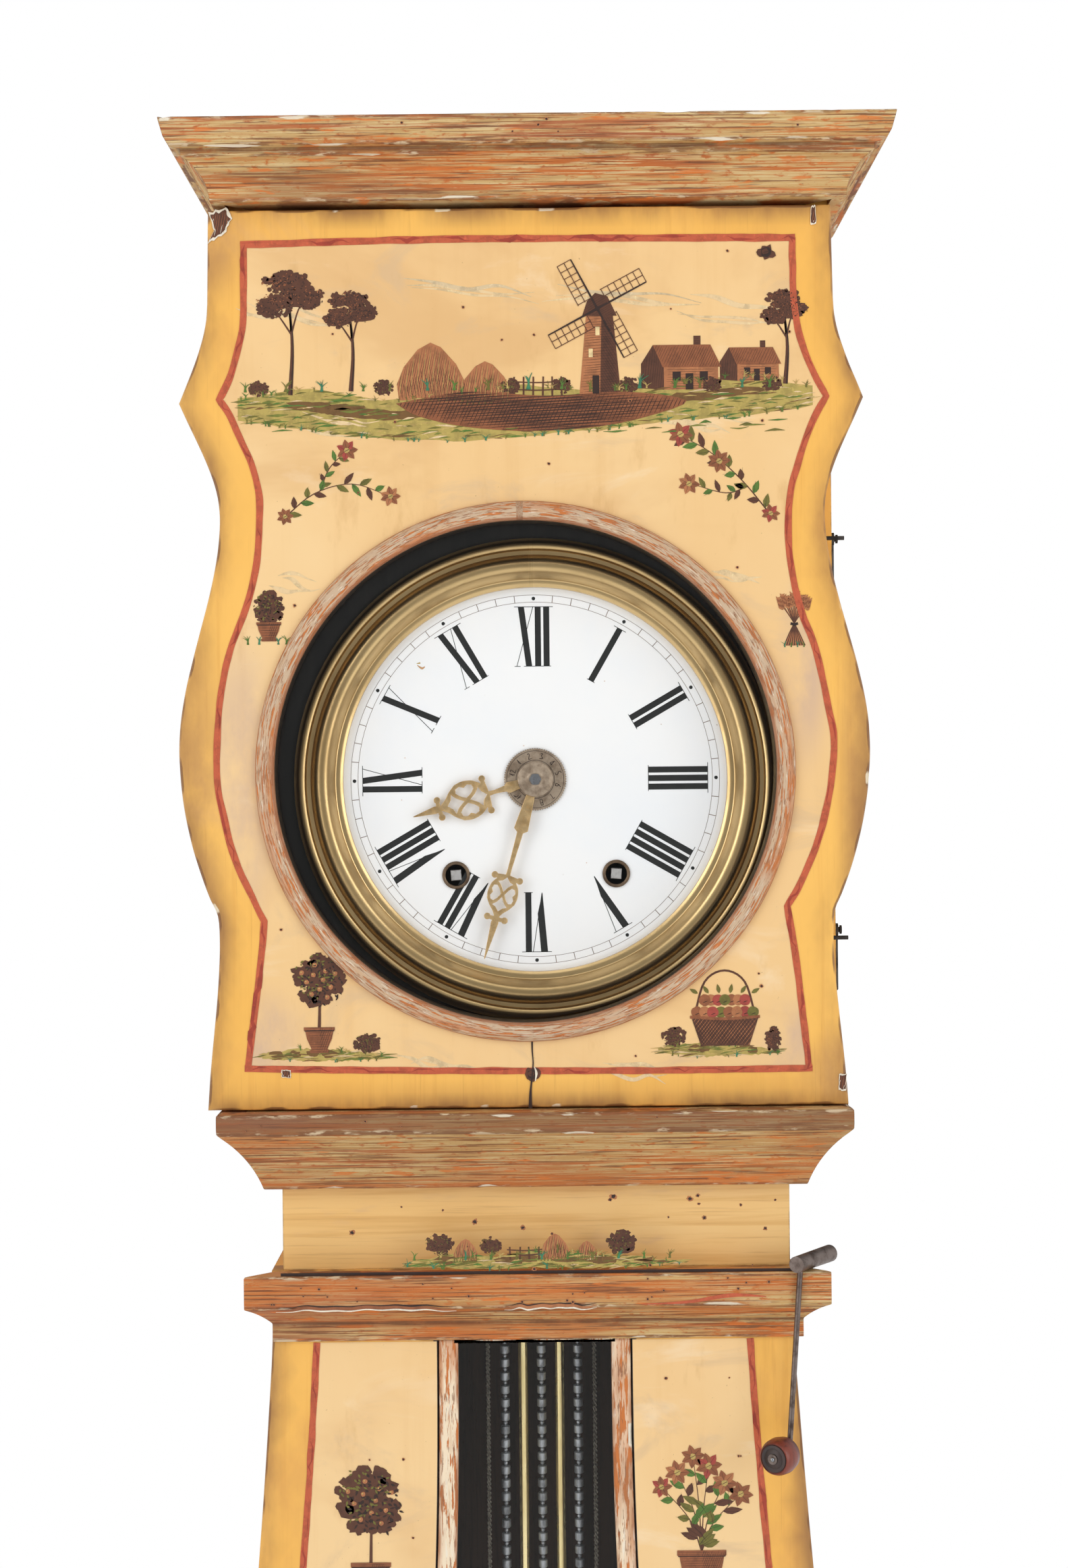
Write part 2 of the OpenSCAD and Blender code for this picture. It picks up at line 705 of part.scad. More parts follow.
// Outline of the head door, from its top to its foot
door_top_z = cornice_z - door_head_gap;
door_foot_z = waist_z + door_foot_gap;
low_half = door_kink_w / 2 - 1;
door_points = concat(
    [[door_top_w / 2, door_top_z]],
    run([door_top_w / 2 + 1, dial_h + shoulder_up], [door_ear_w / 2, dial_h + ear_up], 0, -0.4, 6),
    [for (i = [1:6]) run([door_ear_w / 2, dial_h + ear_up],
        [door_waist_w / 2, dial_h + waist_up], 0.42, 0, 6)[i]],
    [for (i = [1:12]) run([door_waist_w / 2, dial_h + waist_up],
        [door_bulge_w / 2, dial_h + bulge_up], 0, 0, 12)[i]],
    [for (i = [1:10]) run([door_bulge_w / 2, dial_h + bulge_up],
        [door_kink_w / 2, dial_h - kink_drop], 0, 0.45, 10)[i]],
    run([low_half, dial_h - kink_drop - 14], [door_foot_w / 2, door_foot_z], 0, -0.05, 7));
opening_z = dial_h + opening_up;
opening_x = door_dx + opening_off;

module head_door() {
    color([0.91, 0.76, 0.48]) difference() {
        translate([door_dx, 0, 0]) slab(front_y, door_t) polygon(whole(door_points));
        bar_y(opening_x, front_y - 1, opening_z, opening_r, door_t + 2);
        bar_y(opening_x, front_y + door_t - glass_seat, opening_z, opening_r + glass_lap,
            glass_seat + 1);
        for (z = hinge_z) {
            translate([hinge_x, hinge_y, z - hinge_l / 2 - 1])
                cylinder(r = knuckle_r + 0.4, h = hinge_l + 2);
            box(hinge_x, hinge_x + leaf_w, hinge_y - leaf_t, hinge_y + 1,
                z - hinge_l / 2 - 1, z + hinge_l / 2 + 1);
        }
        for (z = peg_heights) bar_x(peg_x, peg_y, z, peg_r, 40);
    }
}

module opening_ring() {
    h = ring_proud;
    w = ring_w;
    color([0.85, 0.72, 0.62]) translate([opening_x, front_y, opening_z]) rotate([90, 0, 0])
        rotate_extrude($fn = 96) translate([opening_r, 0]) polygon([[0, 0], [w, 0],
            [w, h * 0.3], [w * 0.85, h * 0.62], [w * 0.6, h * 0.92], [w * 0.38, h],
            [w * 0.16, h * 0.9], [0, h * 0.6]]);
}

module dial_glass() {
    color([0.8, 0.9, 0.92, 0.35])
        bar_y(opening_x, front_y + door_t - glass_seat, opening_z, opening_r + glass_lap - 0.4,
            dial_glass_t);
}

module head_door_irons() {
    color([0.22, 0.2, 0.19]) {
        for (z = hinge_z) difference() {
            union() {
                translate([hinge_x, hinge_y, z - hinge_third / 2 + knuckle_gap])
                    cylinder(r = knuckle_r, h = hinge_third - 2 * knuckle_gap);
                box(hinge_x, hinge_x + leaf_w, hinge_y - leaf_t, hinge_y,
                    z - hinge_third / 2 + knuckle_gap, z + hinge_third / 2 - knuckle_gap);
                box(hinge_x + knuckle_r + 0.8, hinge_x + leaf_w, hinge_y - leaf_t, hinge_y,
                    z - hinge_l / 2, z + hinge_l / 2);
            }
            translate([hinge_x, hinge_y, z - hinge_l / 2 - 1])
                cylinder(r = hinge_pin_r + run_gap, h = hinge_l + 2);
        }
        for (z = peg_heights) bar_x(peg_x, peg_y, z, peg_r, head_half + peg_out - peg_x);
    }
}

// A wire hook that hangs from a pin on the right side of the head
module side_hook(z) {
    color([0.2, 0.18, 0.17]) difference() {
        union() {
            bar_x(hook_x, hook_y, z, hook_pin_r + 2 * hook_r, 2 * hook_r);
            translate([hook_x + hook_r, hook_y, z - hook_l])
                cylinder(r = hook_r, h = hook_l - hook_pin_r - 1);
            translate([hook_x + hook_r, hook_y, z - hook_l]) sphere(r = hook_r);
            translate([hook_x + hook_r, hook_y, z - hook_l]) rotate([-90, 0, 0])
                cylinder(r = hook_r, h = 2 * peg_r + hook_r + 2.5);
        }
        bar_x(hook_x - 1, hook_y, z, hook_pin_r + run_gap, 2 * hook_r + 2);
    }
}

module upper_hook() {
    side_hook(hook_heights[0]);
}

module lower_hook() {
    side_hook(hook_heights[1]);
}

module trunk_door() {
    color([0.85, 0.62, 0.45]) difference() {
        translate([window_dx, 0, 0]) slab(trunk_y, trunk_door_t)
            polygon(window_points(stile_w, 0, trunk_door_l));
        translate([window_dx, 0, 0]) slab(trunk_y - 1, trunk_door_t + 2)
            polygon(window_points(0, head_rail_h, trunk_door_l - rail_h));
        translate([window_dx, 0, 0]) slab(trunk_y + window_glass_set, trunk_door_t)
            polygon(window_points(window_lap, head_rail_h - 3, trunk_door_l - rail_h + window_lap));
        for (z = small_hinge_z)
            translate([small_hinge_x, trunk_y, z - small_hinge_l / 2 - 1])
                cylinder(r = small_knuckle_r + 0.3, h = small_hinge_l + 2);
    }
}

module trunk_door_glass() {
    color([0.8, 0.9, 0.92, 0.35]) translate([window_dx, 0, 0])
        slab(trunk_y + window_glass_set, window_glass_t)
        polygon(window_points(window_lap - 0.3, head_rail_h - 2.7,
            trunk_door_l - rail_h + window_lap - 0.3));
}

module trunk_door_irons() {
    color([0.22, 0.2, 0.19]) for (z = small_hinge_z) difference() {
        union() {
            translate([small_hinge_x, trunk_y, z - small_third / 2 + knuckle_gap])
                cylinder(r = small_knuckle_r, h = small_third - 2 * knuckle_gap);
            box(small_hinge_x, small_hinge_x + small_leaf_w, trunk_y - small_leaf_t, trunk_y,
                z - small_third / 2 + knuckle_gap, z + small_third / 2 - knuckle_gap);
        }
        translate([small_hinge_x, trunk_y, z - small_hinge_l / 2 - 1])
            cylinder(r = small_pin_r + run_gap, h = small_hinge_l + 2);
    }
}

// The button stands upright, clear of the door, and turns across its stile
button_t = 5;
button_gap = 0.4;
module turn_button() {
    color([0.5, 0.36, 0.22]) {
        translate([button_x, trunk_y - button_gap, button_z]) rotate([90, 0, 0])
            linear_extrude(height = button_t) union() {
                translate([-button_w / 2, 0]) square([button_w, button_l - button_w / 2]);
                circle(r = button_w / 2);
                translate([0, button_l - button_w / 2]) circle(r = button_w / 2);
            }
        bar_y(button_x, trunk_y - button_gap - 0.1, button_z, button_pin_r - run_gap, front_t - 2);
    }
}

// Positions of the arbors, from the dial centre, in the plane of the dial
great_teeth = 60;
second_pinion = 10;
second_teeth = 40;
centre_pinion = 20;
centre_teeth = 75;
third_pinion = 10;
third_teeth = 80;
escape_pinion = 10;
module_great = 1.416;
module_second = 1.02;
module_centre = 0.72;
module_third = 0.62;
gap_great = (great_teeth + second_pinion) / 2 * module_great;
gap_second = (second_teeth + centre_pinion) / 2 * module_second;
gap_centre = (centre_teeth + third_pinion) / 2 * module_centre;
gap_third = (third_teeth + escape_pinion) / 2 * module_third;
wind_reach = sqrt(wind_x * wind_x + wind_drop * wind_drop);
wind_angle = atan2(-wind_drop, wind_x);
// Angle at the dial centre between the winding arbor and the second arbor
second_turn = acos((wind_reach * wind_reach + gap_second * gap_second - gap_great * gap_great)
    / (2 * wind_reach * gap_second));
second_at = gap_second * [cos(wind_angle + second_turn), sin(wind_angle + second_turn)];
third_v = (gap_centre * gap_centre - gap_third * gap_third + escape_up * escape_up)
    / (2 * escape_up);
third_at = [sqrt(gap_centre * gap_centre - third_v * third_v), third_v];
wind_at = [wind_x, -wind_drop];
escape_at = [0, escape_up];
gap_fly = (second_teeth + 10) / 2 * module_second;
fly_at = [-second_at[0], second_at[1]] + gap_fly * [cos(125), sin(125)];
line_x = wind_x - barrel_r - line_r - 0.2;
line_y = cage_y + cage_d / 2 + 4;

// Depths of the wheels in the cage
great_y = inner_y + 6;
second_y = great_y + great_t + 9;
centre_y = second_y + 11;
third_y = centre_y + 10;
escape_y = third_y + 10;
strike_y = escape_y + 11;
vane_y = strike_y + 12;
vane_l = 33;
barrel_y = great_y + great_t + 5.5;
barrel_l = cage_back_y - strap_t - barrel_y - 8;

// Half angle of a tooth on a circle of radius r, for an involute flank
flank = 25;
function inv_a(r, rb) = let (a = acos(min(1, rb / r))) tan(a) * 180 / PI - a;
function tooth_half(r, n, m, slack) =
    let (rp = n * m / 2, rb = rp * cos(flank))
    90 / n - slack / rp * 90 / PI + inv_a(rp, rb) - inv_a(max(r, rb), rb);

// A wheel with n teeth of the given module; turn is the direction of one tooth
module gear(n, m, turn, slack = 0.16) {
    rp = n * m / 2;
    tip = rp + 0.8 * m;
    root = rp - 1.1 * m;
    radii = [root, (root + rp) / 2, rp, tip];
    polygon([for (i = [0:n - 1], j = [0:7])
        let (r = radii[j < 4 ? j : 7 - j], s = j < 4 ? -1 : 1,
            a = turn + i * 360 / n + s * tooth_half(r, n, m, slack * m))
        r * [cos(a), sin(a)]]);
}

// Direction of a tooth of a wheel with n2 teeth that meshes with a wheel of n1
// teeth whose tooth points to turn1, the second lying in direction a
function mesh(n1, turn1, n2, a) = a + 180 + 180 / n2 + n1 / n2 * (a - turn1);
function angle_of(p, q) = atan2(q[1] - p[1], q[0] - p[0]);

centre_turn = 0;
second_turn_a = mesh(centre_pinion, centre_turn, second_teeth, angle_of([0, 0], second_at));
great_turn = mesh(second_pinion, second_turn_a, great_teeth, angle_of(second_at, wind_at));
third_turn = mesh(centre_teeth, centre_turn, third_pinion, angle_of([0, 0], third_at));
escape_turn = mesh(third_teeth, third_turn, escape_pinion, angle_of(third_at, escape_at));

module at(p) {
    translate([move_dx + p[0], 0, dial_h + p[1]]) children();
}

// Round holes that lighten a wheel
module crossings(n, r, hole_r) {
    for (i = [0:n - 1]) rotate(i * 360 / n + 180 / n) translate([r, 0]) circle(r = hole_r);
}

module cage_frame() {
    half = cage_w / 2;
    back = cage_back_y - strap_t;
    color([0.25, 0.24, 0.24]) {
        difference() {
            box(move_dx - half, move_dx + half, inner_y, back, seat_z, seat_z + plate_t);
            for (s = [-1, 1])
                box(move_dx + s * line_x - 9, move_dx + s * line_x + 9, inner_y + 4,
                    back - 4, seat_z - 1, seat_z + plate_t + 1);
        }
        difference() {
            box(move_dx - half, move_dx + half, inner_y, back,
                dial_h + cage_up - plate_t, dial_h + cage_up);
            translate([hammer_x, hammer_y, dial_h + cage_up - plate_t - 1])
                cylinder(r = arbor_r + run_gap, h = plate_t + 2);
        }
        for (s = [-1, 1], y = [inner_y + 2, back - pillar_w - 2])
            box(move_dx + s * (half - 8) - pillar_w / 2, move_dx + s * (half - 8) + pillar_w / 2,
                y, y + pillar_w, seat_z + plate_t, dial_h + cage_up - plate_t);
        // Post of the bell, on the top plate
        translate([move_dx, bell_y, dial_h + cage_up]) cylinder(r = 3, h = bell_post_l);
        translate([move_dx, bell_y, dial_h + cage_up]) cylinder(r = 7, h = 8);
        // Cock that carries the pendulum and the front end of the anchor arbor
        difference() {
            box(move_dx - 12, move_dx + 12, pend_y - 6, cage_y, cock_z, cock_z + 5);
            box(move_dx - 2, move_dx + 2, pend_y - 5, pend_y + 5, cock_z - 1, cock_z + 6);
        }
    }
}
cock_z = dial_h + anchor_up + 9;

strap_arbors = [[0, 0], second_at, third_at, escape_at, [-second_at[0], second_at[1]], fly_at,
    [0, anchor_up]];
module cage_straps() {
    color([0.28, 0.27, 0.27]) for (y = [cage_y, cage_back_y - strap_t]) difference() {
        union() {
            box(move_dx - wind_x + 8, move_dx + 32, y, y + strap_t, seat_z, dial_h + cage_up);
            for (s = [-1, 1])
                box(move_dx + s * (wind_x + 1) - 11, move_dx + s * (wind_x + 1) + 11, y, y + strap_t,
                    seat_z, dial_h + cage_up);
        }
        for (p = strap_arbors) at(p) bar_y(0, y - 1, 0, arbor_r + run_gap, strap_t + 2);
        for (s = [-1, 1])
            at([s * wind_x, -wind_drop]) bar_y(0, y - 1, 0, wind_arbor_r + run_gap, strap_t + 2);
    }
}

bezel_back = 33;
module dial_surround() {
    c = bezel_crown_r;
    r = bezel_r;
    n = dial_open_r;
    profile = [[n, dial_set - 0.2], [n, 31.5], [n + 1.8, 30.6], [n + 4.6, 30.2], [n + 6, 28],
        [c - 5, 25], [c - 3, bezel_set + 0.8], [c, bezel_set], [c + 3, bezel_set + 0.8],
        [c + 5.5, 25.5], [c + 7.5, 29.4], [r - 8, 29.4], [r - 7, 27.6], [r - 5, 26.8],
        [r - 3, 27.6], [r - 2, 29.2], [r, 30], [r, bezel_back], [r - 12, bezel_back],
        [r - 12, dial_set - 0.2]];
    color([0.6, 0.48, 0.22]) translate([move_dx, front_y, dial_h]) rotate([90, 0, 0])
        rotate_extrude($fn = 128) polygon([for (p = profile) [p[0], -p[1]]]);
}

module enamel_dial() {
    color([0.96, 0.96, 0.94]) difference() {
        bar_y(move_dx, front_y + dial_set, dial_h, dial_r, dial_t);
        bar_y(move_dx, front_y + dial_set - 1, dial_h, dial_hole_r, dial_t + 2);
        for (s = [-1, 1])
            at([s * wind_x, -wind_drop])
                bar_y(0, front_y + dial_set - 1, 0, wind_hole_r + 1, dial_t + 2);
    }
}

module winding_eyelets() {
    color([0.75, 0.58, 0.26]) for (s = [-1, 1]) at([s * wind_x, -wind_drop]) difference() {
        union() {
            bar_y(0, front_y + dial_set - 0.9, 0, wind_hole_r + eyelet_w, 0.9);
            bar_y(0, front_y + dial_set - 0.1, 0, wind_hole_r + 1, dial_t);
        }
        bar_y(0, front_y + dial_set - 2, 0, wind_hole_r, dial_t + 4);
    }
}

dial_back_y = front_y + dial_set + dial_t;
bridge_y = dial_back_y + 22;
bridge_t = 3;
motion_teeth = [12, 36, 10, 40];
motion_gap = 24;
module_motion_a = 2 * motion_gap / (motion_teeth[0] + motion_teeth[1]);
module_motion_b = 2 * motion_gap / (motion_teeth[2] + motion_teeth[3]);
motion_a_y = bridge_y - 5;
motion_b_y = bridge_y - 11;
post_r = 4;
module motion_bridge() {
    color([0.35, 0.34, 0.33]) {
        difference() {
            union() {
                box(move_dx - wind_x - 8, move_dx + wind_x + 8, bridge_y, bridge_y + bridge_t,
                    dial_h - 11, dial_h + 11);
                for (s = [-1, 1]) bar_y(move_dx + s * wind_x, bridge_y + bridge_t, dial_h, post_r,
                    cage_y - bridge_y - bridge_t);
                bar_y(move_dx + motion_gap, motion_b_y - 2, dial_h, arbor_r, bridge_y - motion_b_y + 2);
            }
            bar_y(move_dx, bridge_y - 1, dial_h, arbor_r + run_gap, bridge_t + 2);
        }
        // Posts that hold the dial off the cage
        for (s = [-1, 1], v = [cage_up - 26, -cage_drop + 18])
            bar_y(move_dx + s * wind_x, dial_back_y, dial_h + v, post_r, cage_y - dial_back_y);
    }
}

// Half outline of the pierced part of a hand, and the outlines of its piercings, as
// shares of its half width and half length
hand_ring = [[0.22, -0.98], [0.6, -0.78], [0.9, -0.42], [1, 0], [0.93, 0.36], [0.66, 0.66],
    [0.36, 0.9], [0.17, 1.12]];
hand_diamond = [[0, 0.13], [0.24, 0.42], [0.5, 0.6], [0.24, 0.68], [0, 0.88]];
hand_heart = [[0.13, 0], [0.3, 0.24], [0.5, 0.4], [0.7, 0.36], [0.78, 0.18], [0.66, 0],
    [0.78, -0.18], [0.7, -0.36], [0.5, -0.4], [0.3, -0.24]];
hand_ball_r = 2.1;

// A pierced spear hand that points up, of length l. root gives the half width and the
// height of its shoulders, mid the height of the middle of its pierced part, and size
// the half width and half length of that part.
module hand(l, root, mid, size, hole_r) {
    top_arm = mid - 0.86 * size[1];
    low_arm = mid + 1.24 * size[1];
    top_ball = 0.84 * size[0];
    low_ball = 5.7;
    difference() {
        union() {
            slab(0, hand_t) circle(r = 7.5);
            slab(0, hand_t) polygon([[-2.3, 5], [-root[0], root[1]], [-2, root[1] + 2],
                [-1.3, top_arm - 6], [-1.6, top_arm + 1], [1.6, top_arm + 1], [1.3, top_arm - 6],
                [2, root[1] + 2], [root[0], root[1]], [2.3, 5]]);
            slab(0, hand_t) polygon(whole([for (p = hand_ring)
                [p[0] * size[0], mid + p[1] * size[1]]]));
            for (s = [-1, 1]) {
                slab(0, hand_t) polygon([[0, top_arm - 2], [s * top_ball, top_arm - 1],
                    [s * top_ball, top_arm + 1], [s * 0.6 * size[0], top_arm + 1.9],
                    [0, top_arm]]);
                slab(0, hand_t) translate([s * top_ball, top_arm]) circle(r = hand_ball_r);
                slab(0, hand_t) polygon([[0, low_arm - 1.2], [s * low_ball, low_arm - 1],
                    [s * low_ball, low_arm + 1], [0, low_arm + 2]]);
                slab(0, hand_t) translate([s * low_ball, low_arm]) circle(r = hand_ball_r);
            }
            slab(0, hand_t) polygon([[-1.6, mid + size[1]], [-2.4, low_arm + 3], [-0.4, l - 1],
                [0, l], [0.4, l - 1], [2.4, low_arm + 3], [1.6, mid + size[1]]]);
        }
        for (s = [-1, 1]) {
            slab(-1, hand_t + 2) polygon([for (p = hand_heart)
                [s * p[0] * size[0], mid + p[1] * size[1]]]);
            slab(-1, hand_t + 2) polygon(whole([for (p = hand_diamond)
                [p[0] * size[0], mid + s * p[1] * size[1]]]));
        }
        bar_y(0, -1, 0, hole_r, hand_t + 2);
    }
}

hour_hand_y = front_y + 33.4;
minute_hand_y = front_y + 30;
hour_pipe_r = 6;
cannon_r = 4;
nose_r = 2.6;
hand_fit = 0.02;
module hour_hand() {
    color([0.8, 0.62, 0.28]) translate([move_dx, hour_hand_y, dial_h]) rotate([0, hour_a, 0])
        hand(hour_l, [3.6, 0.22 * hour_l], 0.555 * hour_l, [12.6, 15], hour_pipe_r - 1 + hand_fit);
}

module minute_hand() {
    color([0.8, 0.62, 0.28]) translate([move_dx, minute_hand_y, dial_h]) rotate([0, minute_a, 0])
        hand(minute_l, [4.6, 0.28 * minute_l], 0.64 * minute_l, [9.8, 12.8], nose_r + hand_fit);
}

nut_t = 1.8;
stud_r = 1.48;
module hand_nut() {
    color([0.45, 0.45, 0.46]) translate([move_dx, minute_hand_y - nut_t, dial_h])
        difference() {
            bar_y(0, 0, 0, 3.9, nut_t, $fn = 6);
            bar_y(0, -1, 0, stud_r + hand_fit, nut_t + 2);
        }
}

module alarm_disc() {
    y = front_y + dial_set - 1.6;
    color([0.72, 0.56, 0.26]) translate([move_dx, 0, dial_h]) difference() {
        slab(y, 1.2) polygon([for (i = [0:159])
            (alarm_r - (i % 2) * 0.7) * [cos(i * 2.25), sin(i * 2.25)]]);
        bar_y(0, y - 1, 0, hour_pipe_r + run_gap, 4);
    }
}

module hour_wheel() {
    turn = mesh(motion_teeth[2], minute_wheel_turn, motion_teeth[3], 180);
    color([0.74, 0.58, 0.28]) at([0, 0]) difference() {
        union() {
            slab(motion_b_y, wheel_t) gear(motion_teeth[3], module_motion_b, turn);
            bar_y(0, hour_hand_y + hand_t, 0, hour_pipe_r, motion_b_y - hour_hand_y);
            bar_y(0, hour_hand_y, 0, hour_pipe_r - 1, hand_t + 1);
        }
        bar_y(0, hour_hand_y - 1, 0, cannon_r + run_gap, motion_b_y - hour_hand_y + 6);
    }
}

minute_wheel_turn = mesh(motion_teeth[0], centre_turn, motion_teeth[1], 0);
module minute_wheel() {
    color([0.74, 0.58, 0.28]) at([motion_gap, 0]) difference() {
        union() {
            slab(motion_a_y, wheel_t) gear(motion_teeth[1], module_motion_a, minute_wheel_turn);
            slab(motion_b_y - 0.5, motion_a_y - motion_b_y + 0.5)
                gear(motion_teeth[2], module_motion_b, minute_wheel_turn);
        }
        bar_y(0, motion_b_y - 2, 0, arbor_r + run_gap, 12);
    }
}

module centre_arbor() {
    color([0.6, 0.6, 0.6]) at([0, 0]) {
        bar_y(0, minute_hand_y - nut_t, 0, stud_r, nut_t + 2);
        bar_y(0, minute_hand_y, 0, nose_r, hand_t + 1);
        bar_y(0, minute_hand_y + hand_t, 0, cannon_r, motion_a_y - minute_hand_y - hand_t);
        slab(motion_a_y, wheel_t) gear(motion_teeth[0], module_motion_a, centre_turn);
        bar_y(0, motion_a_y, 0, arbor_r, cage_back_y - motion_a_y);
        slab(second_y - 1, 5) gear(centre_pinion, module_second, centre_turn);
        slab(centre_y, wheel_t) difference() {
            gear(centre_teeth, module_centre, centre_turn);
            crossings(5, 15, 6);
        }
    }
}

module second_wheel() {
    color([0.74, 0.58, 0.28]) at(second_at) {
        bar_y(0, cage_y, 0, arbor_r, cage_d);
        slab(great_y - 1, great_t + 2) gear(second_pinion, module_great, second_turn_a);
        slab(second_y, wheel_t) difference() {
            gear(second_teeth, module_second, second_turn_a);
            crossings(4, 11, 4);
        }
    }
}

module great_wheel(turn) {
    difference() {
        slab(great_y, great_t) difference() {
            gear(great_teeth, module_great, turn);
            crossings(6, 26, 9);
        }
        bar_y(0, great_y - 1, 0, wind_arbor_r + run_gap, great_t + 2);
    }
}

module going_great_wheel() {
    color([0.74, 0.58, 0.28]) at(wind_at) great_wheel(great_turn);
}

module third_wheel() {
    color([0.74, 0.58, 0.28]) at(third_at) {
        bar_y(0, cage_y, 0, arbor_r, cage_d);
        slab(centre_y - 1, wheel_t + 2) gear(third_pinion, module_centre, third_turn);
        slab(third_y, wheel_t) difference() {
            gear(third_teeth, module_third, third_turn);
            crossings(5, 14, 5.5);
        }
    }
}

// Escape wheel with thirty pointed teeth, and its pinion
module escape_wheel() {
    color([0.74, 0.58, 0.28]) at(escape_at) {
        bar_y(0, cage_y, 0, arbor_r, cage_d);
        slab(third_y - 1, wheel_t + 2) gear(escape_pinion, module_third, escape_turn);
        slab(escape_y, wheel_t / 2) difference() {
            polygon([for (i = [0:29], j = [0:2])
                let (r = j == 1 ? escape_r : escape_r - 3, a = escape_turn + i * 12 + j * 3)
                r * [cos(a), sin(a)]]);
            crossings(5, 7.5, 3);
        }
    }
}

// The anchor, its arbor and the crutch in front that leads the pendulum
pallet_gap = 2.2;
module anchor() {
    drop = anchor_up - escape_up;
    reach = escape_r + pallet_gap;
    px = reach * sin(52);
    pz = reach * cos(52) - drop;
    color([0.4, 0.4, 0.42]) at([0, anchor_up]) {
        bar_y(0, pend_y + 8, 0, arbor_r, cage_back_y - pend_y - 8);
        slab(escape_y - 1, wheel_t / 2 + 2) {
            circle(r = 5);
            for (s = [-1, 1]) polygon([[s * 0, 4.5], [s * (px + 3), pz + 8], [s * (px + 3.2), pz],
                [s * px, pz], [s * (px - 1), pz + 6], [s * 0, -4.5]]);
        }
        box(-3, 3, pend_y + 8, pend_y + 10, -crutch_l, 0);
        for (s = [-1, 1])
            box(s * 4.2 - 1, s * 4.2 + 1, pend_y - 3, pend_y + 10, -crutch_l - 6, -crutch_l);
        box(-5.2, 5.2, pend_y + 6, pend_y + 10, -crutch_l - 6, -crutch_l + 2);
    }
}
crutch_l = 42;

// A barrel with its ratchet, on a winding arbor that ends in a square
ratchet_teeth = 24;
module barrel(side) {
    ratchet_y = great_y + great_t + 1.5;
    step = 360 / ratchet_teeth;
    square_l = cage_y - front_y - dial_set;
    bar_y(0, cage_y - 0.5, 0, wind_arbor_r, cage_d + 0.5);
    bar_y(0, barrel_y, 0, barrel_r, barrel_l);
    for (y = [barrel_y, barrel_y + barrel_l - flange_t]) bar_y(0, y, 0, flange_r, flange_t);
    slab(ratchet_y, 3) polygon([for (i = [0:ratchet_teeth - 1], j = [0, 1])
        (j == 0 ? 15 : 12.5) * [cos(side * (i * step + j * 2)), sin(side * (i * step + j * 2))]]);
    bar_y(0, great_y + great_t + 1, 0, 8, 6);
    translate([0, cage_y - square_l / 2 - 0.5, 0])
        cube([wind_square, square_l, wind_square], center = true);
}

module going_barrel() {
    color([0.55, 0.5, 0.4]) at(wind_at) barrel(1);
}

module strike_barrel() {
    color([0.55, 0.5, 0.4]) at([-wind_x, -wind_drop]) barrel(-1);
}

// A cast weight with a hook on top
hook_ring_z = weight_z + weight_h / 2 + 22;
module weight_at(x) {
    color([0.2, 0.2, 0.2]) translate([x, line_y, 0]) {
        translate([0, 0, weight_z - weight_h / 2]) rotate_extrude() polygon([[0, 0],
            [weight_r - 2, 0], [weight_r, 3], [weight_r, weight_h - 8], [weight_r - 7, weight_h],
            [0, weight_h]]);
        translate([0, 0, weight_z + weight_h / 2]) cylinder(r = 3, h = 14);
        translate([0, 0, weight_z + weight_h / 2 + 19]) rotate([90, 0, 0])
            rotate_extrude() translate([6, 0]) circle(r = 2, $fn = 24);
    }
}

module going_weight() {
    weight_at(move_dx + line_x);
}

module strike_weight() {
    weight_at(move_dx - line_x);
}

module line_at(x) {
    color([0.45, 0.42, 0.36]) translate([x, line_y, weight_z + weight_h / 2 + 27.3])
        cylinder(r = line_r, h = dial_h - wind_drop - weight_z - weight_h / 2 - 27.3, $fn = 16);
}

module going_line() {
    line_at(move_dx + line_x);
}

module strike_line() {
    line_at(move_dx - line_x);
}

// Strike train: the mirror image of the first two wheels, then the fly
pin_turn = mesh(great_teeth, 90, second_pinion,
    angle_of([-wind_x, -wind_drop], [-second_at[0], second_at[1]]));
fly_turn = mesh(second_teeth, pin_turn, 10, 125);
module strike_great_wheel() {
    color([0.74, 0.58, 0.28]) at([-wind_x, -wind_drop]) great_wheel(90);
}

module pin_wheel() {
    color([0.74, 0.58, 0.28]) at([-second_at[0], second_at[1]]) {
        bar_y(0, cage_y, 0, arbor_r, cage_d);
        slab(great_y - 1, great_t + 2) gear(second_pinion, module_great, pin_turn);
        slab(strike_y, wheel_t) difference() {
            gear(second_teeth, module_second, pin_turn);
            crossings(4, 10, 3.5);
        }
        for (i = [0:7]) rotate([0, 45 * i + 22.5, 0])
            bar_y(16, strike_y + wheel_t - 0.5, 0, 1, 4);
    }
}

module fly() {
    color([0.74, 0.58, 0.28]) at(fly_at) {
        bar_y(0, cage_y, 0, arbor_r, cage_d);
        slab(strike_y - 1, wheel_t + 2) gear(10, module_second, fly_turn);
        box(-19, 19, vane_y, vane_y + vane_l, -0.4, 0.4);
    }
}

hammer_x = move_dx - bell_r - 13;
hammer_y = cage_y + 26;
bell_y = cage_y + cage_d / 2 + 4;
bell_foot = dial_h + cage_up + bell_post_l - bell_h - 4;
module hammer() {
    arm_z = bell_foot + 5;
    color([0.35, 0.34, 0.33]) {
        translate([hammer_x, hammer_y, dial_h + cage_up - plate_t])
            cylinder(r = arbor_r, h = arm_z - dial_h - cage_up + plate_t + 4);
        translate([hammer_x, hammer_y, dial_h + cage_up + 0.4]) cylinder(r = 4, h = 5);
        bar_y(hammer_x, hammer_y, arm_z, 1.6, bell_y - hammer_y);
        bar_x(hammer_x - 7, bell_y, arm_z, 6, 17);
    }
}

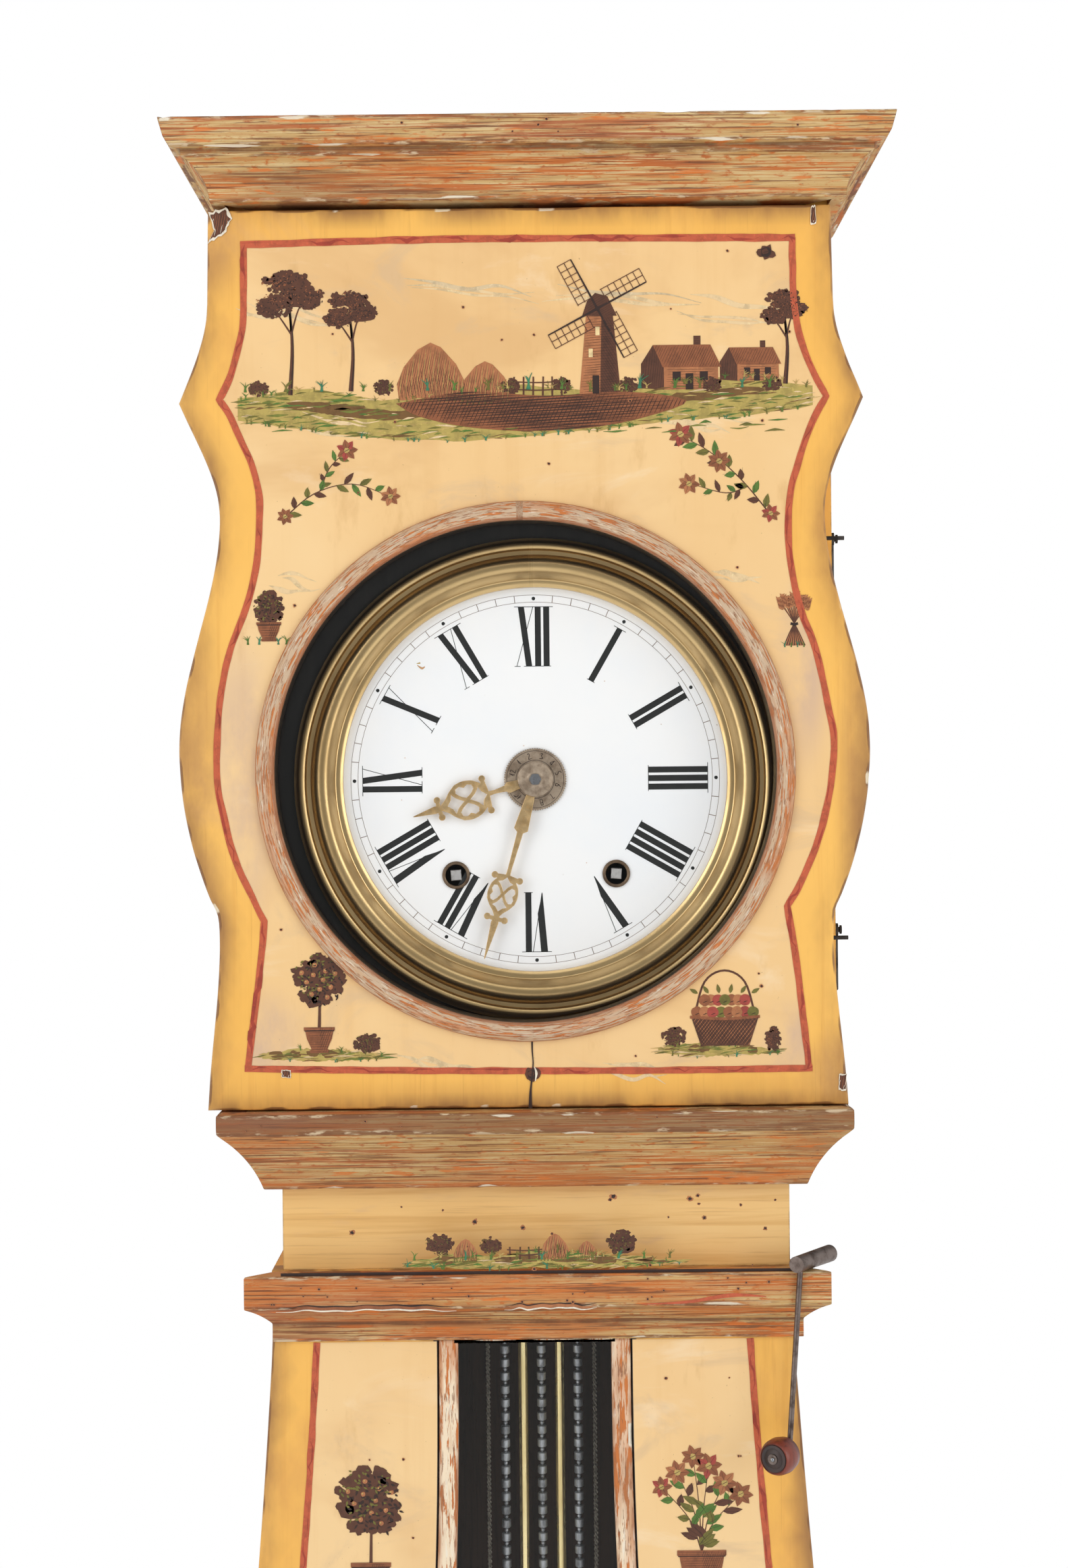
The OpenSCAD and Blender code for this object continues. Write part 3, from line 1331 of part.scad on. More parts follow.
// The bell, hung on its post and held by a nut, open at the mouth
module bell() {
    rise = bell_h - bell_t;
    outer = [for (i = [0:9]) [bell_r * cos(i * 9) - (i == 0 ? 0 : 2), bell_h * sin(i * 9)]];
    inner = [for (i = [9:-1:0])
        [(bell_r - bell_t) * cos(i * 9) - (i == 0 ? 0 : 2), rise * sin(i * 9)]];
    color([0.72, 0.6, 0.35]) translate([move_dx, bell_y, bell_foot]) {
        difference() {
            rotate_extrude() polygon(concat(outer, [[0, bell_h], [0, rise]], inner));
            translate([0, 0, rise - 3]) cylinder(r = 3.02, h = 12);
        }
        translate([0, 0, rise - 4.2]) difference() {
            cylinder(r = 6, h = 4);
            translate([0, 0, -1]) cylinder(r = 3.02, h = 6);
        }
    }
}

// Thin spring in the cock, with its brass end pieces
spring_z = dial_h + anchor_up;
module suspension() {
    color([0.75, 0.72, 0.66]) {
        box(move_dx - 0.3, move_dx + 0.3, pend_y - 4, pend_y + 4, spring_z - 9, cock_z + 8);
        box(move_dx - 6.5, move_dx + 6.5, pend_y - 4, pend_y + 4, cock_z + 5.6, cock_z + 9.6);
    }
}

rail_z = [grid_foot, grid_top];
grid_rail_h = 9;
tail_r = 2.5;
tail_l = 26;
nut_gap = 14;
module pendulum_frame() {
    stir = stirrup_r;
    w = 3;
    color([0.78, 0.66, 0.36]) {
        // Flat rod from the suspension, opened into a loop round the hand arbor
        box(move_dx - w, move_dx + w, pend_y - 2, pend_y + 2, dial_h + 28, spring_z - 9);
        box(move_dx - stir - w, move_dx + stir + w, pend_y - 2, pend_y + 2, dial_h + 22, dial_h + 28);
        for (s = [-1, 1])
            box(move_dx + s * (stir + w / 2) - w / 2, move_dx + s * (stir + w / 2) + w / 2,
                pend_y - 2, pend_y + 2, dial_h - 28, dial_h + 22);
        box(move_dx - stir - w, move_dx + stir + w, pend_y - 2, pend_y + 2, dial_h - 34, dial_h - 28);
        box(move_dx - w, move_dx + w, pend_y - 2, pend_y + 2, grid_top + grid_rail_h, dial_h - 34);
        // Rails of the grid and the two plain rods
        for (z = rail_z)
            box(move_dx - column_pitch - 6, move_dx + column_pitch + 6, pend_y - 4, pend_y + 4,
                z, z + grid_rail_h);
        for (s = [-0.5, 0.5])
            translate([move_dx + s * column_pitch, pend_y, grid_foot + grid_rail_h])
                cylinder(r = rod_r, h = grid_top - grid_foot - grid_rail_h);
        // Tail rod that carries the bob
        translate([move_dx, pend_y, bob_z - bob_r - tail_l])
            cylinder(r = tail_r, h = grid_foot - bob_z + bob_r + tail_l);
        translate([move_dx, pend_y, bob_z - bob_r - nut_gap]) cylinder(r = 9, h = 8);
    }
}

module beaded_columns() {
    n = floor((grid_top - grid_foot - grid_rail_h) / bead_pitch);
    z0 = grid_foot + grid_rail_h;
    rest = grid_top - z0 - n * bead_pitch;
    s = segment_h;
    color([0.3, 0.31, 0.33]) for (k = [-1:1])
        translate([move_dx + k * column_pitch, pend_y, z0]) rotate_extrude($fn = 32)
            polygon(concat([[0, 0]],
                [for (i = [0:n - 1], j = [0:3])
                    [j < 2 ? segment_r : bead_r,
                        i * bead_pitch + (j == 0 ? 0 : j == 3 ? bead_pitch : s)]],
                [[bead_r, n * bead_pitch + rest], [0, n * bead_pitch + rest]]));
}

module bob() {
    flat = [for (i = [0:8]) let (a = i * 90 / 8) [bob_r * sin(a), bob_t / 2 * cos(a)]];
    color([0.72, 0.58, 0.3]) translate([move_dx, pend_y, bob_z]) difference() {
        rotate([90, 0, 0]) rotate_extrude($fn = 96)
            polygon(concat(flat, [[bob_r, -1.5], [bob_r - 4, -3], [0, -bob_t / 2 + 3]]));
        translate([-tail_r - 0.05, -tail_r - 0.1, -bob_r - 2])
            cube([2 * tail_r + 0.1, bob_t, 2 * bob_r + 4]);
    }
}

// The winding crank rests on the ledge of the trunk cornice, beside the neck
socket_z = ledge_z + socket_r1 + 0.3;
rod_y = trunk_y - ledge_over - crank_rod_r - 0.5;
lean = atan2(crank_lean, crank_l);
knob_at = [crank_x - crank_lean, rod_y, socket_z - crank_l];
module crank() {
    color([0.23, 0.2, 0.19]) {
        translate([crank_x, rod_y, socket_z]) rotate([0, 0, -socket_yaw]) rotate([-90, 0, 0])
            translate([0, 0, -socket_grip]) difference() {
                cylinder(r1 = socket_r0, r2 = socket_r1, h = socket_l);
                translate([0, 0, socket_l - 9]) cube([wind_square + 0.3, wind_square + 0.3, 20],
                    center = true);
            }
        translate(knob_at) rotate([0, lean, 0]) cylinder(r = crank_rod_r, h = crank_l / cos(lean));
        translate(knob_at) rotate([0, 0, -socket_yaw]) {
            rotate([90, 0, 0]) translate([0, 0, -2.5]) cylinder(r = 3.5, h = 4.5);
            rotate([90, 0, 0]) cylinder(r = knob_pin_r, h = knob_l + 3.5);
            rotate([90, 0, 0]) translate([0, 0, knob_l + 2.6]) cylinder(r = 3.2, h = 1);
        }
    }
}

module crank_knob() {
    color([0.42, 0.22, 0.14]) translate(knob_at) rotate([0, 0, -socket_yaw]) rotate([90, 0, 0])
        translate([0, 0, 2.3]) difference() {
            rotate_extrude() polygon([[0, 0], [knob_r - 3.5, 0], [knob_r - 1, 2.5],
                [knob_r, knob_l * 0.45], [knob_r - 0.6, knob_l * 0.8], [knob_r - 2.2, knob_l],
                [0, knob_l]]);
            translate([0, 0, -1]) cylinder(r = knob_pin_r + run_gap, h = knob_l + 2);
        }
}

plinth_skirting();
floor_board();
trunk_front();
trunk_sides();
trunk_back();
trunk_cornice();
neck_boards();
waist_moulding();
head_sides();
head_back();
roof_board();
top_cornice();
seat_board();
dial_mask();
case_irons();
head_door();
opening_ring();
dial_glass();
head_door_irons();
upper_hook();
lower_hook();
trunk_door();
trunk_door_glass();
trunk_door_irons();
turn_button();
cage_frame();
cage_straps();
dial_surround();
enamel_dial();
winding_eyelets();
motion_bridge();
hour_hand();
hour_wheel();
minute_hand();
centre_arbor();
hand_nut();
alarm_disc();
minute_wheel();
second_wheel();
going_great_wheel();
third_wheel();
escape_wheel();
anchor();
going_barrel();
going_weight();
going_line();
strike_great_wheel();
pin_wheel();
fly();
strike_barrel();
strike_weight();
strike_line();
hammer();
bell();
suspension();
pendulum_frame();
beaded_columns();
bob();
crank();
crank_knob();
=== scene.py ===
import math
import random

import bmesh
import bpy
import numpy as np
from mathutils import Matrix, Vector, kdtree, noise
from mathutils.geometry import delaunay_2d_cdt, tessellate_polygon


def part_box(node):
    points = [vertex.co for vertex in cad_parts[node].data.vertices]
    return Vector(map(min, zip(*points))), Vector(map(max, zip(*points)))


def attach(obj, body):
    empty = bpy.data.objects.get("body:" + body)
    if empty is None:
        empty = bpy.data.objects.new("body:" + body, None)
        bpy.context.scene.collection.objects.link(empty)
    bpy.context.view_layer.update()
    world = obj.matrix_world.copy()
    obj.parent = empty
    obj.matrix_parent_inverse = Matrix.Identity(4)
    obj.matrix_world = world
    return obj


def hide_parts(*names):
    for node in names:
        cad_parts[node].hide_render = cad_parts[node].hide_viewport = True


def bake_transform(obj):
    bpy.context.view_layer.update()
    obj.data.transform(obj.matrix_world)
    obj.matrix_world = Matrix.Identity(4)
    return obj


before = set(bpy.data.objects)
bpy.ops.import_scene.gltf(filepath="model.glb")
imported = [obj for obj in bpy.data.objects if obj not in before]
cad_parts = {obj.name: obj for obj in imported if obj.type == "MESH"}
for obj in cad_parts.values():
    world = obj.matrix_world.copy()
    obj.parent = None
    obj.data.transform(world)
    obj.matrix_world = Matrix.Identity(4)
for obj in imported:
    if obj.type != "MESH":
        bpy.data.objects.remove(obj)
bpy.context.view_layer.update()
scene = bpy.context.scene

MM = 0.001
dial_low, dial_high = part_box("enamel_dial")
dial_x = (dial_low.x + dial_high.x) / 2
dial_y = dial_low.y
DIAL_Z = round((dial_low.z + dial_high.z) / 2, 4)
PAINT = 0.05 * MM                        # thickness of one layer of paint
WIND_X, WIND_DROP = 51.4 * MM, 61 * MM   # winding holes from the dial's centre
RING_W = 12 * MM                         # width of the ring round the opening
RIM = 16 * MM                            # how far in from its edges a board is smeared
WEAR_STEP = 2.5 * MM                     # points round a moulding's section
MITRE_GAP = 0.12 * MM
EDGE_R = 0.9 * MM
SOFT_EDGE = 0.7 * MM                     # rounding of plain boards, by light alone
WORN_EDGE = 1.6 * MM
front_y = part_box("head_door")[0].y
trunk_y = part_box("trunk_front")[0].y
neck_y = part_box("neck_boards")[0].y
ring_low, ring_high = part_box("opening_ring")
ring_x = (ring_low.x + ring_high.x) / 2
ring_z = (ring_low.z + ring_high.z) / 2
opening_r = (ring_high.x - ring_low.x) / 2 - RING_W


# Materials

def rgb(red, green, blue):
    """A colour read as it looks on screen, turned into the renderer's own scale."""
    def line(value):
        value /= 255
        return value / 12.92 if value <= 0.04045 else ((value + 0.055) / 1.055) ** 2.4
    return (line(red), line(green), line(blue), 1.0)


def scaled(values, factor):
    """Each value times the factor."""
    return tuple(factor * v for v in values)


def feed(tree, target, value):
    """Links a socket to an input, or sets the input to a constant."""
    if isinstance(value, bpy.types.NodeSocket):
        tree.links.new(value, target)
    else:
        target.default_value = value


def add(tree, kind, inputs=None, **settings):
    """Adds a shader node. Its inputs are named or numbered."""
    made = tree.nodes.new("ShaderNode" + kind)
    for name, value in settings.items():
        setattr(made, name, value)
    for key, value in (inputs or {}).items():
        feed(tree, made.inputs[key], value)
    return made


class Surface:
    """A material built up in layers: a base, then tints, roughness and relief by masks."""

    def __init__(self, name, colour, rough=0.5, metal=0.0, coat=0.0, space="Object"):
        self.material = bpy.data.materials.new(name)
        self.material.use_nodes = True
        self.material.diffuse_color = colour
        self.tree = self.material.node_tree
        self.shader = self.tree.nodes["Principled BSDF"]
        self.space, self.colour, self.rough, self.height = space, colour, rough, None
        for socket, value in (("Base Color", colour), ("Roughness", rough), ("Metallic", metal),
                              ("Coat Weight", coat), ("Coat Roughness", 0.12)):
            self.put(socket, value)

    def put(self, socket, value):
        """Sets or links an input of the shader."""
        feed(self.tree, self.shader.inputs[socket], value)

    def node(self, kind, inputs=None, **settings):
        return add(self.tree, kind, inputs, **settings)

    def place(self, scale):
        """The material's own coordinates, stretched by a scale."""
        source = self.node("TexCoord").outputs[self.space]
        return self.node("Mapping", {"Vector": source, "Scale": scale}).outputs[0]

    def noise(self, scale, low=0.4, high=0.6, detail=5.0, distortion=0.0):
        """A mask of noise with a grain of the given scale, from 0 below low to 1 above high."""
        made = self.node("TexNoise", {"Vector": self.place(scale), "Scale": 1.0,
                                      "Detail": detail, "Roughness": 0.6,
                                      "Distortion": distortion})
        return self.limit(made.outputs[0], low, high)

    def limit(self, value, low, high):
        """Rises smoothly from 0 at low to 1 at high."""
        return self.node("MapRange", {"Value": value, 1: low, 2: high},
                         interpolation_type="SMOOTHSTEP").outputs[0]

    def maths(self, operation, first, second):
        return self.node("Math", {0: first, 1: second}, operation=operation,
                         use_clamp=True).outputs[0]

    def times(self, first, second):
        return self.maths("MULTIPLY", first, second)

    def vector(self, operation, first, second=(0, 0, 0)):
        return self.node("VectorMath", {0: first, 1: second}, operation=operation)

    def attribute(self, name):
        return self.node("Attribute", attribute_name=name).outputs["Fac"]

    def tint(self, mask, colour, strength=1.0):
        """Lays a colour over the ones before it where the mask is 1."""
        if strength != 1.0:
            mask = self.times(mask, strength)
        self.colour = self.node("Mix", {0: mask, 6: self.colour, 7: colour},
                                data_type="RGBA").outputs[2]
        self.put("Base Color", self.colour)

    def coats(self, *rows):
        """Tints by noise, one after another: its grain and limits, a colour and a strength."""
        for scale, low, high, tone, strength, *more in rows:
            self.tint(self.noise(scale, low, high, **dict(*more)), rgb(*tone), strength)

    def marked(self, name, low, high, tone, strength=1.0):
        """Tints where a mark on the mesh rises from one limit to the other."""
        self.tint(self.limit(self.attribute(name), low, high), rgb(*tone), strength)

    def sheen(self, mask, rough):
        """Changes the roughness where the mask is 1."""
        self.rough = self.node("MapRange", {"Value": mask, 3: self.rough, 4: rough}).outputs[0]
        self.put("Roughness", self.rough)

    def relief(self, mask, depth):
        """Raises the surface by depth where the mask is 1."""
        inputs = {"Height": mask, "Distance": depth, "Strength": 1.0}
        if self.height is not None:
            inputs["Normal"] = self.height
        self.height = self.node("Bump", inputs).outputs[0]
        self.put("Normal", self.height)

    def zone(self, centre, size):
        """A broken patch round a place, 1 at its middle; centre and size in metres."""
        here = self.node("TexCoord").outputs["Object"]
        near = self.vector("DIVIDE", self.vector("SUBTRACT", here, centre).outputs[0], size)
        far = self.vector("LENGTH", near.outputs[0]).outputs["Value"]
        return self.times(self.limit(far, 1.1, 0.2), self.noise((22, 22, 12), 0.3, 0.6))

    def back(self, colour, dark):
        """Raw wood on the faces that look backward, seen from the piece itself."""
        parts = self.node("SeparateXYZ", {0: self.node("TexCoord").outputs["Normal"]})
        mask = self.limit(parts.outputs["Y"], 0.6, 0.9)
        self.tint(mask, colour)
        self.tint(self.times(mask, self.noise((110, 110, 4), 0.42, 0.66)), dark, 0.7)

    def soften(self, radius):
        """Rounds the edges of a plain CAD node by bending the light there."""
        self.height = self.node("Bevel", {"Radius": radius}).outputs[0]
        self.put("Normal", self.height)

    def plain_board(self):
        """Soft worn edges and a dark inner face, for boards that are plain CAD nodes."""
        self.soften(SOFT_EDGE)
        bent = self.node("Bevel", {"Radius": WORN_EDGE}).outputs[0]
        flat = self.node("NewGeometry").outputs["Normal"]
        away = self.maths("SUBTRACT", 1.0, self.vector("DOT_PRODUCT", bent, flat).outputs["Value"])
        edge = self.times(self.limit(away, 0.02, 0.2), self.noise((90, 90, 90), 0.35, 0.6))
        self.tint(edge, rgb(112, 74, 42), 0.9)
        geometry = self.node("NewGeometry")
        inward = self.vector("MULTIPLY", geometry.outputs["True Normal"],
                             geometry.outputs["Position"]).outputs[0]
        parts = self.node("SeparateXYZ", {0: inward})
        self.tint(self.limit(parts.outputs["X"], -0.001, -0.02), rgb(74, 56, 42))


# Places and sizes of darker brown patches, in metres
DARKER_PATCHES = (((-0.216, -0.16, 1.93), (0.035, 0.2, 0.13)), ((-0.2, -0.16, 2.27), (0.03, 0.2, 0.04)),
         ((0.19, -0.16, 1.75), (0.03, 0.2, 0.03)), ((0.205, -0.16, 1.93), (0.02, 0.2, 0.1)))
RUBBED = (((-0.182, -0.16, 1.935), (0.03, 0.2, 0.11)),
          ((-0.17, -0.16, 1.775), (0.03, 0.2, 0.035)),
          ((0.15, -0.16, 1.77), (0.04, 0.2, 0.03)), ((0.17, -0.16, 2.0), (0.02, 0.2, 0.07)))


def ochre_paint(name, plain=False):
    """Yellow ochre, darker brown in patches, worn at its edges."""
    look = Surface(name, rgb(245, 185, 86), rough=0.42, coat=0.12)
    look.coats(((4, 4, 3), 0.4, 0.65, (251, 196, 100), 0.7),
               ((170, 170, 5), 0.5, 0.74, (222, 156, 66), 0.3),
               ((510, 510, 15), 0.6, 0.72, (198, 134, 58), 0.22),
               ((14, 14, 9), 0.52, 0.76, (216, 152, 80), 0.55),
               ((7, 7, 6), 0.56, 0.72, (226, 174, 112), 0.5, {"distortion": 1.0}))
    for place, size in DARKER_PATCHES:
        look.tint(look.zone(place, size), rgb(168, 118, 78), 0.62)
    if plain:
        look.plain_board()
    else:
        smear = look.times(look.attribute("rim"), look.noise((26, 26, 9), 0.2, 0.7))
        look.tint(smear, rgb(150, 104, 60), 0.85)
        look.marked("worn", 0.35, 0.8, (120, 78, 42), 0.85)
        look.marked("chip", 0.3, 0.6, (232, 216, 186), 0.9)
        # Painted shade, near black, on the walls of holes cut through the board
        look.marked("hole", 0.9, 1.0, (34, 28, 24))
        look.back(rgb(150, 114, 78), rgb(92, 66, 44))
    look.sheen(look.noise((30, 30, 8), 0.4, 0.7), 0.55)
    look.relief(look.noise((170, 170, 5), 0.3, 0.8), 0.06 * MM)
    return look.material


def neck_paint(name):
    """Pale cream over ochre with a grain that runs across, and wear on the edges."""
    look = Surface(name, rgb(240, 194, 122), rough=0.44, coat=0.1)
    look.coats(((3, 3, 12), 0.42, 0.66, (240, 202, 138), 0.7),
               ((6, 6, 170), 0.46, 0.66, (218, 166, 92), 0.6, {"distortion": 0.4}),
               ((12, 12, 480), 0.54, 0.7, (196, 146, 86), 0.4),
               ((16, 16, 60), 0.6, 0.75, (212, 172, 132), 0.5, {"detail": 3}))
    look.plain_board()
    look.relief(look.noise((6, 6, 300), 0.3, 0.8), 0.06 * MM)
    return look.material


def cream_paint(name):
    """Cream gone patchy under its varnish, with rubbed whitish marks and brown specks."""
    look = Surface(name, rgb(241, 200, 140), rough=0.4, coat=0.15)
    look.coats(((5, 5, 4), 0.42, 0.66, (246, 210, 154), 0.8),
               ((60, 60, 3), 0.52, 0.74, (230, 184, 122), 0.3),
               ((4, 4, 7), 0.52, 0.72, (222, 176, 118), 0.65, {"distortion": 0.8}),
               ((11, 11, 17), 0.55, 0.72, (214, 182, 142), 0.55, {"distortion": 1.2}),
               ((9, 9, 26), 0.58, 0.72, (250, 226, 190), 0.5, {"distortion": 0.6}),
               ((40, 40, 14), 0.6, 0.74, (206, 158, 96), 0.35),
               ((420, 420, 420), 0.7, 0.76, (132, 92, 54), 0.65))
    for place, size in RUBBED:
        look.tint(look.zone(place, size), rgb(196, 166, 152), 0.7)
    look.sheen(look.noise((24, 24, 10), 0.4, 0.7), 0.52)
    look.relief(look.noise((60, 60, 4), 0.3, 0.8), 0.05 * MM)
    return look.material


def moulding_paint(name, fascia=False):
    """Greenish cream brushed over orange, along the length of a moulding, and rubbed, with painted
    shade in its hollows.
    """
    look = Surface(name, rgb(192, 106, 44), rough=0.6)
    look.coats(((4, 4, 26), 0.52, 0.66, (160, 92, 60), 0.7, {"detail": 2}),
               ((3, 3, 12), 0.5, 0.62, (208, 120, 50), 0.6, {"detail": 2}))
    whole = look.maths("ADD", look.noise((3.5, 3.5, 24), 0.6, 0.42, detail=3), 0.25)
    broken = look.times(look.noise((150, 150, 420), 0.3, 0.48, detail=6), whole)
    for scale, low, high, tone, strength in (
            ((5, 5, 170), 0.44, 0.54, (194, 158, 98), 0.8),
            ((9, 9, 480), 0.48, 0.56, (204, 170, 112), 0.85),
            ((20, 20, 1200), 0.52, 0.59, (218, 192, 140), 0.85)):
        streak = look.noise(scale, low, high, detail=7, distortion=0.15)
        look.tint(look.times(streak, broken), rgb(*tone), strength)
    look.coats(((16, 16, 900), 0.55, 0.6, (116, 68, 36), 0.85),
               ((5, 5, 60), 0.56, 0.7, (134, 84, 46), 0.5),
               ((26, 26, 240), 0.6, 0.66, (216, 116, 42), 0.75, {"detail": 3}),
               ((2.5, 2.5, 9), 0.6, 0.72, (160, 120, 104), 0.5, {"detail": 3}),
               ((300, 300, 900), 0.66, 0.72, (96, 62, 40), 0.6))
    if fascia:
        look.marked("fascia", 0.4, 0.6, (108, 68, 42), 0.66)
        look.coats(((6, 6, 30), 0.3, 0.7, (150, 98, 50), 0.34))
    # Painted shade, dark brown, in the concave hollows of the moulding's section
    hollow = look.times(look.attribute("hollow"), look.noise((40, 40, 40), 0.2, 0.6))
    look.tint(hollow, rgb(104, 64, 34), 0.8)
    edge = look.times(look.attribute("worn"), look.noise((45, 45, 300), 0.44, 0.58))
    look.tint(edge, rgb(120, 76, 46), 0.7)
    look.tint(look.times(edge, look.noise((70, 70, 300), 0.5, 0.6)), rgb(222, 200, 164), 0.8)
    look.marked("chip", 0.2, 0.5, (233, 222, 200), 0.95)
    look.sheen(look.noise((16, 16, 700), 0.4, 0.6), 0.75)
    look.relief(look.noise((9, 9, 700), 0.35, 0.7), 0.14 * MM)
    look.relief(look.noise((120, 120, 500), 0.4, 0.7), 0.05 * MM)
    return look.material


def strip_paint(name, white, along, space="Object"):
    """White worn off in streaks down to orange, with brown cracks."""
    look = Surface(name, rgb(202, 116, 52), rough=0.55, space=space)
    look.coats((scaled(along, 0.3), 0.5, 0.6, (164, 106, 66), 0.6))
    whole = look.maths("ADD", look.noise(scaled(along, 0.12), 0.66, 0.44, detail=3), 0.25)
    streaks = look.noise(along, 0.43, 0.48, detail=7, distortion=0.3)
    look.tint(look.times(streaks, whole), rgb(*white), 0.95)
    look.coats((scaled(along, 0.5), 0.54, 0.62, (206, 162, 118), 0.5),
               (scaled(along, 1.6), 0.57, 0.61, (142, 92, 60), 0.75),
               (scaled(along, 1.3), 0.61, 0.65, (240, 230, 212), 0.7))
    look.tint(look.attribute("worn"), rgb(166, 100, 58), 0.75)
    look.marked("chip", 0.2, 0.5, (236, 226, 206), 0.95)
    look.relief(streaks, 0.14 * MM)
    return look.material


def wood(name, colour, dark, along=(90, 90, 4), rough=0.65):
    """Wood, cord or matt paint with a grain of a darker colour."""
    look = Surface(name, rgb(*colour), rough=rough)
    look.coats((along, 0.4, 0.66, dark, 0.8), (scaled(along, 4), 0.5, 0.7, dark, 0.5))
    look.soften(0.5 * MM)
    look.relief(look.noise(along, 0.3, 0.7), 0.08 * MM)
    return look.material


def metal(name, colour, dark, rough, grain=(60, 60, 60), bevel=0.2 * MM, rougher=0.2, share=0.8,
          space="Object"):
    """Metal clouded with a darker colour; turned metal has its pattern round the axis."""
    look = Surface(name, rgb(*colour), rough=rough, metal=1.0, space=space)
    look.coats((grain, 0.42, 0.68, dark, share),
               (scaled(grain, 9), 0.56, 0.72, dark, 0.5 * share))
    if bevel:
        look.soften(bevel)
    look.sheen(look.noise(scaled(grain, 2), 0.4, 0.7), rough + rougher)
    if space == "UV":
        look.relief(look.noise((4, 60, 1), 0.3, 0.7, detail=2), 0.03 * MM)
    return look.material


def glass(name):
    """Clear old glass that shines on its front side alone."""
    made = bpy.data.materials.new(name)
    made.use_nodes = True
    tree = made.node_tree
    tree.nodes.clear()
    clear = add(tree, "BsdfTransparent", {"Color": (0.996, 0.998, 0.997, 1)})
    shine = add(tree, "BsdfGlossy", {"Roughness": 0.03, "Color": (0.9, 0.93, 0.92, 1)})
    behind = add(tree, "NewGeometry").outputs["Backfacing"]
    front = add(tree, "Math", {0: behind, 1: -1.0, 2: 1.0}, operation="MULTIPLY_ADD").outputs[0]
    fresnel = add(tree, "Fresnel", {"IOR": 1.3}).outputs[0]
    share = add(tree, "Math", {0: fresnel, 1: front}, operation="MULTIPLY").outputs[0]
    both = add(tree, "MixShader", {0: share, 1: clear.outputs[0], 2: shine.outputs[0]})
    add(tree, "OutputMaterial", {0: both.outputs[0]})
    return made


def enamel(name):
    """White enamel, faintly blue in places, with a few specks."""
    look = Surface(name, rgb(255, 255, 255), rough=0.16, coat=0.5)
    look.coats(((9, 9, 9), 0.45, 0.7, (248, 251, 255), 0.7),
               ((330, 330, 330), 0.735, 0.77, (150, 130, 108), 0.7))
    look.relief(look.noise((14, 14, 14), 0.2, 0.8), 0.05 * MM)
    return look.material


def ink(name, tone):
    """Paint or print of one colour with darker and lighter grains."""
    colour = rgb(*tone)
    look = Surface(name, colour, rough=0.5)
    dark = scaled(colour[:3], 0.55) + (1.0,)
    light = tuple(min(1.0, 1.5 * v) for v in colour[:3]) + (1.0,)
    look.tint(look.noise((150, 150, 150), 0.42, 0.66), dark, 0.55)
    look.tint(look.noise((520, 520, 520), 0.56, 0.7), light, 0.4)
    return look.material


# Name, colour, darker colour; then, where they aren't the usual ones, the grain and roughness
WOODS = {
    "pine": ("raw_pine_aged", (140, 108, 74), (84, 60, 40)),
    "inside": ("raw_pine_inside", (86, 60, 42), (48, 34, 24)),
    "dark_wood": ("dark_wood_aged", (92, 62, 42), (48, 32, 22)),
    # The dial mask is matt black, painted shade for the dark gap round the bezel
    "shade_black": ("black_matt_painted_shade", (26, 23, 21), (12, 11, 10), (90, 90, 4), 0.5),
    "knob": ("knob_wood_turned", (128, 56, 38), (66, 28, 22), (90, 90, 4), 0.35),
    "knob_face": ("knob_wood_dark", (62, 46, 42), (40, 30, 28), (90, 90, 4), 0.5),
    "cord": ("cord_twisted", (232, 224, 208), (140, 130, 116), (500, 500, 500), 0.8),
}
# Name, colour, darker colour and roughness; then, where they aren't the usual ones, the grain,
# the width of soft edges, the added roughness, the share of the dark and the pattern's space
METALS = {
    "brass": ("aged_brass_plain", (168, 140, 84), (104, 82, 42), 0.32),
    "bronze": ("aged_brass_brown", (186, 168, 148), (134, 116, 98), 0.5, (120, 120, 120), 0),
    "gilt": ("bright_brass_gilt", (224, 192, 142), (180, 146, 98), 0.36, (200, 200, 200),
             0.15 * MM),
    "rod": ("bright_brass_rod", (255, 238, 180), (232, 204, 136), 0.26, (60, 60, 9)),
    "steel": ("steel_worn", (150, 152, 156), (78, 76, 76), 0.34),
    "bar": ("steel_bar", (196, 200, 204), (126, 128, 132), 0.55, (240, 240, 60), 0),
    "iron": ("dark_iron_forged", (84, 80, 78), (40, 36, 34), 0.48),
    "crank": ("dark_iron_crank", (122, 110, 104), (72, 58, 52), 0.42, (90, 90, 90)),
    "eyelet": ("aged_brass_eyelet", (128, 108, 88), (84, 68, 56), 0.4),
    "square": ("steel_square", (196, 194, 192), (140, 134, 130), 0.55),
    "cast": ("dark_iron_cast", (70, 66, 64), (38, 34, 32), 0.6, (160, 160, 160)),
    "bezel": ("aged_brass_turned", (214, 184, 132), (168, 138, 92), 0.3, (7, 26, 1), 0, 0.1, 0.7,
              "UV"),
}
LOOKS = {
    "ochre": ochre_paint("ochre_paint_outer"),
    "ochre_sides": ochre_paint("ochre_paint_sides", plain=True),
    "ochre_neck": neck_paint("cream_paint_neck"),
    "cream": cream_paint("cream_paint_field"),
    "moulding": moulding_paint("moulding_paint_streaked"),
    "moulding_dark": moulding_paint("moulding_paint_dark_edge", fascia=True),
    "strip": strip_paint("strip_paint_worn", (244, 226, 196), (420, 420, 44)),
    "ring": strip_paint("strip_paint_ring", (204, 178, 148), (60, 700, 1), "UV"),
    "glass": glass("glass_old"),
    "enamel": enamel("enamel_white"),
}
LOOKS.update({key: wood(*row) for key, row in WOODS.items()})
LOOKS.update({key: metal(*row) for key, row in METALS.items()})
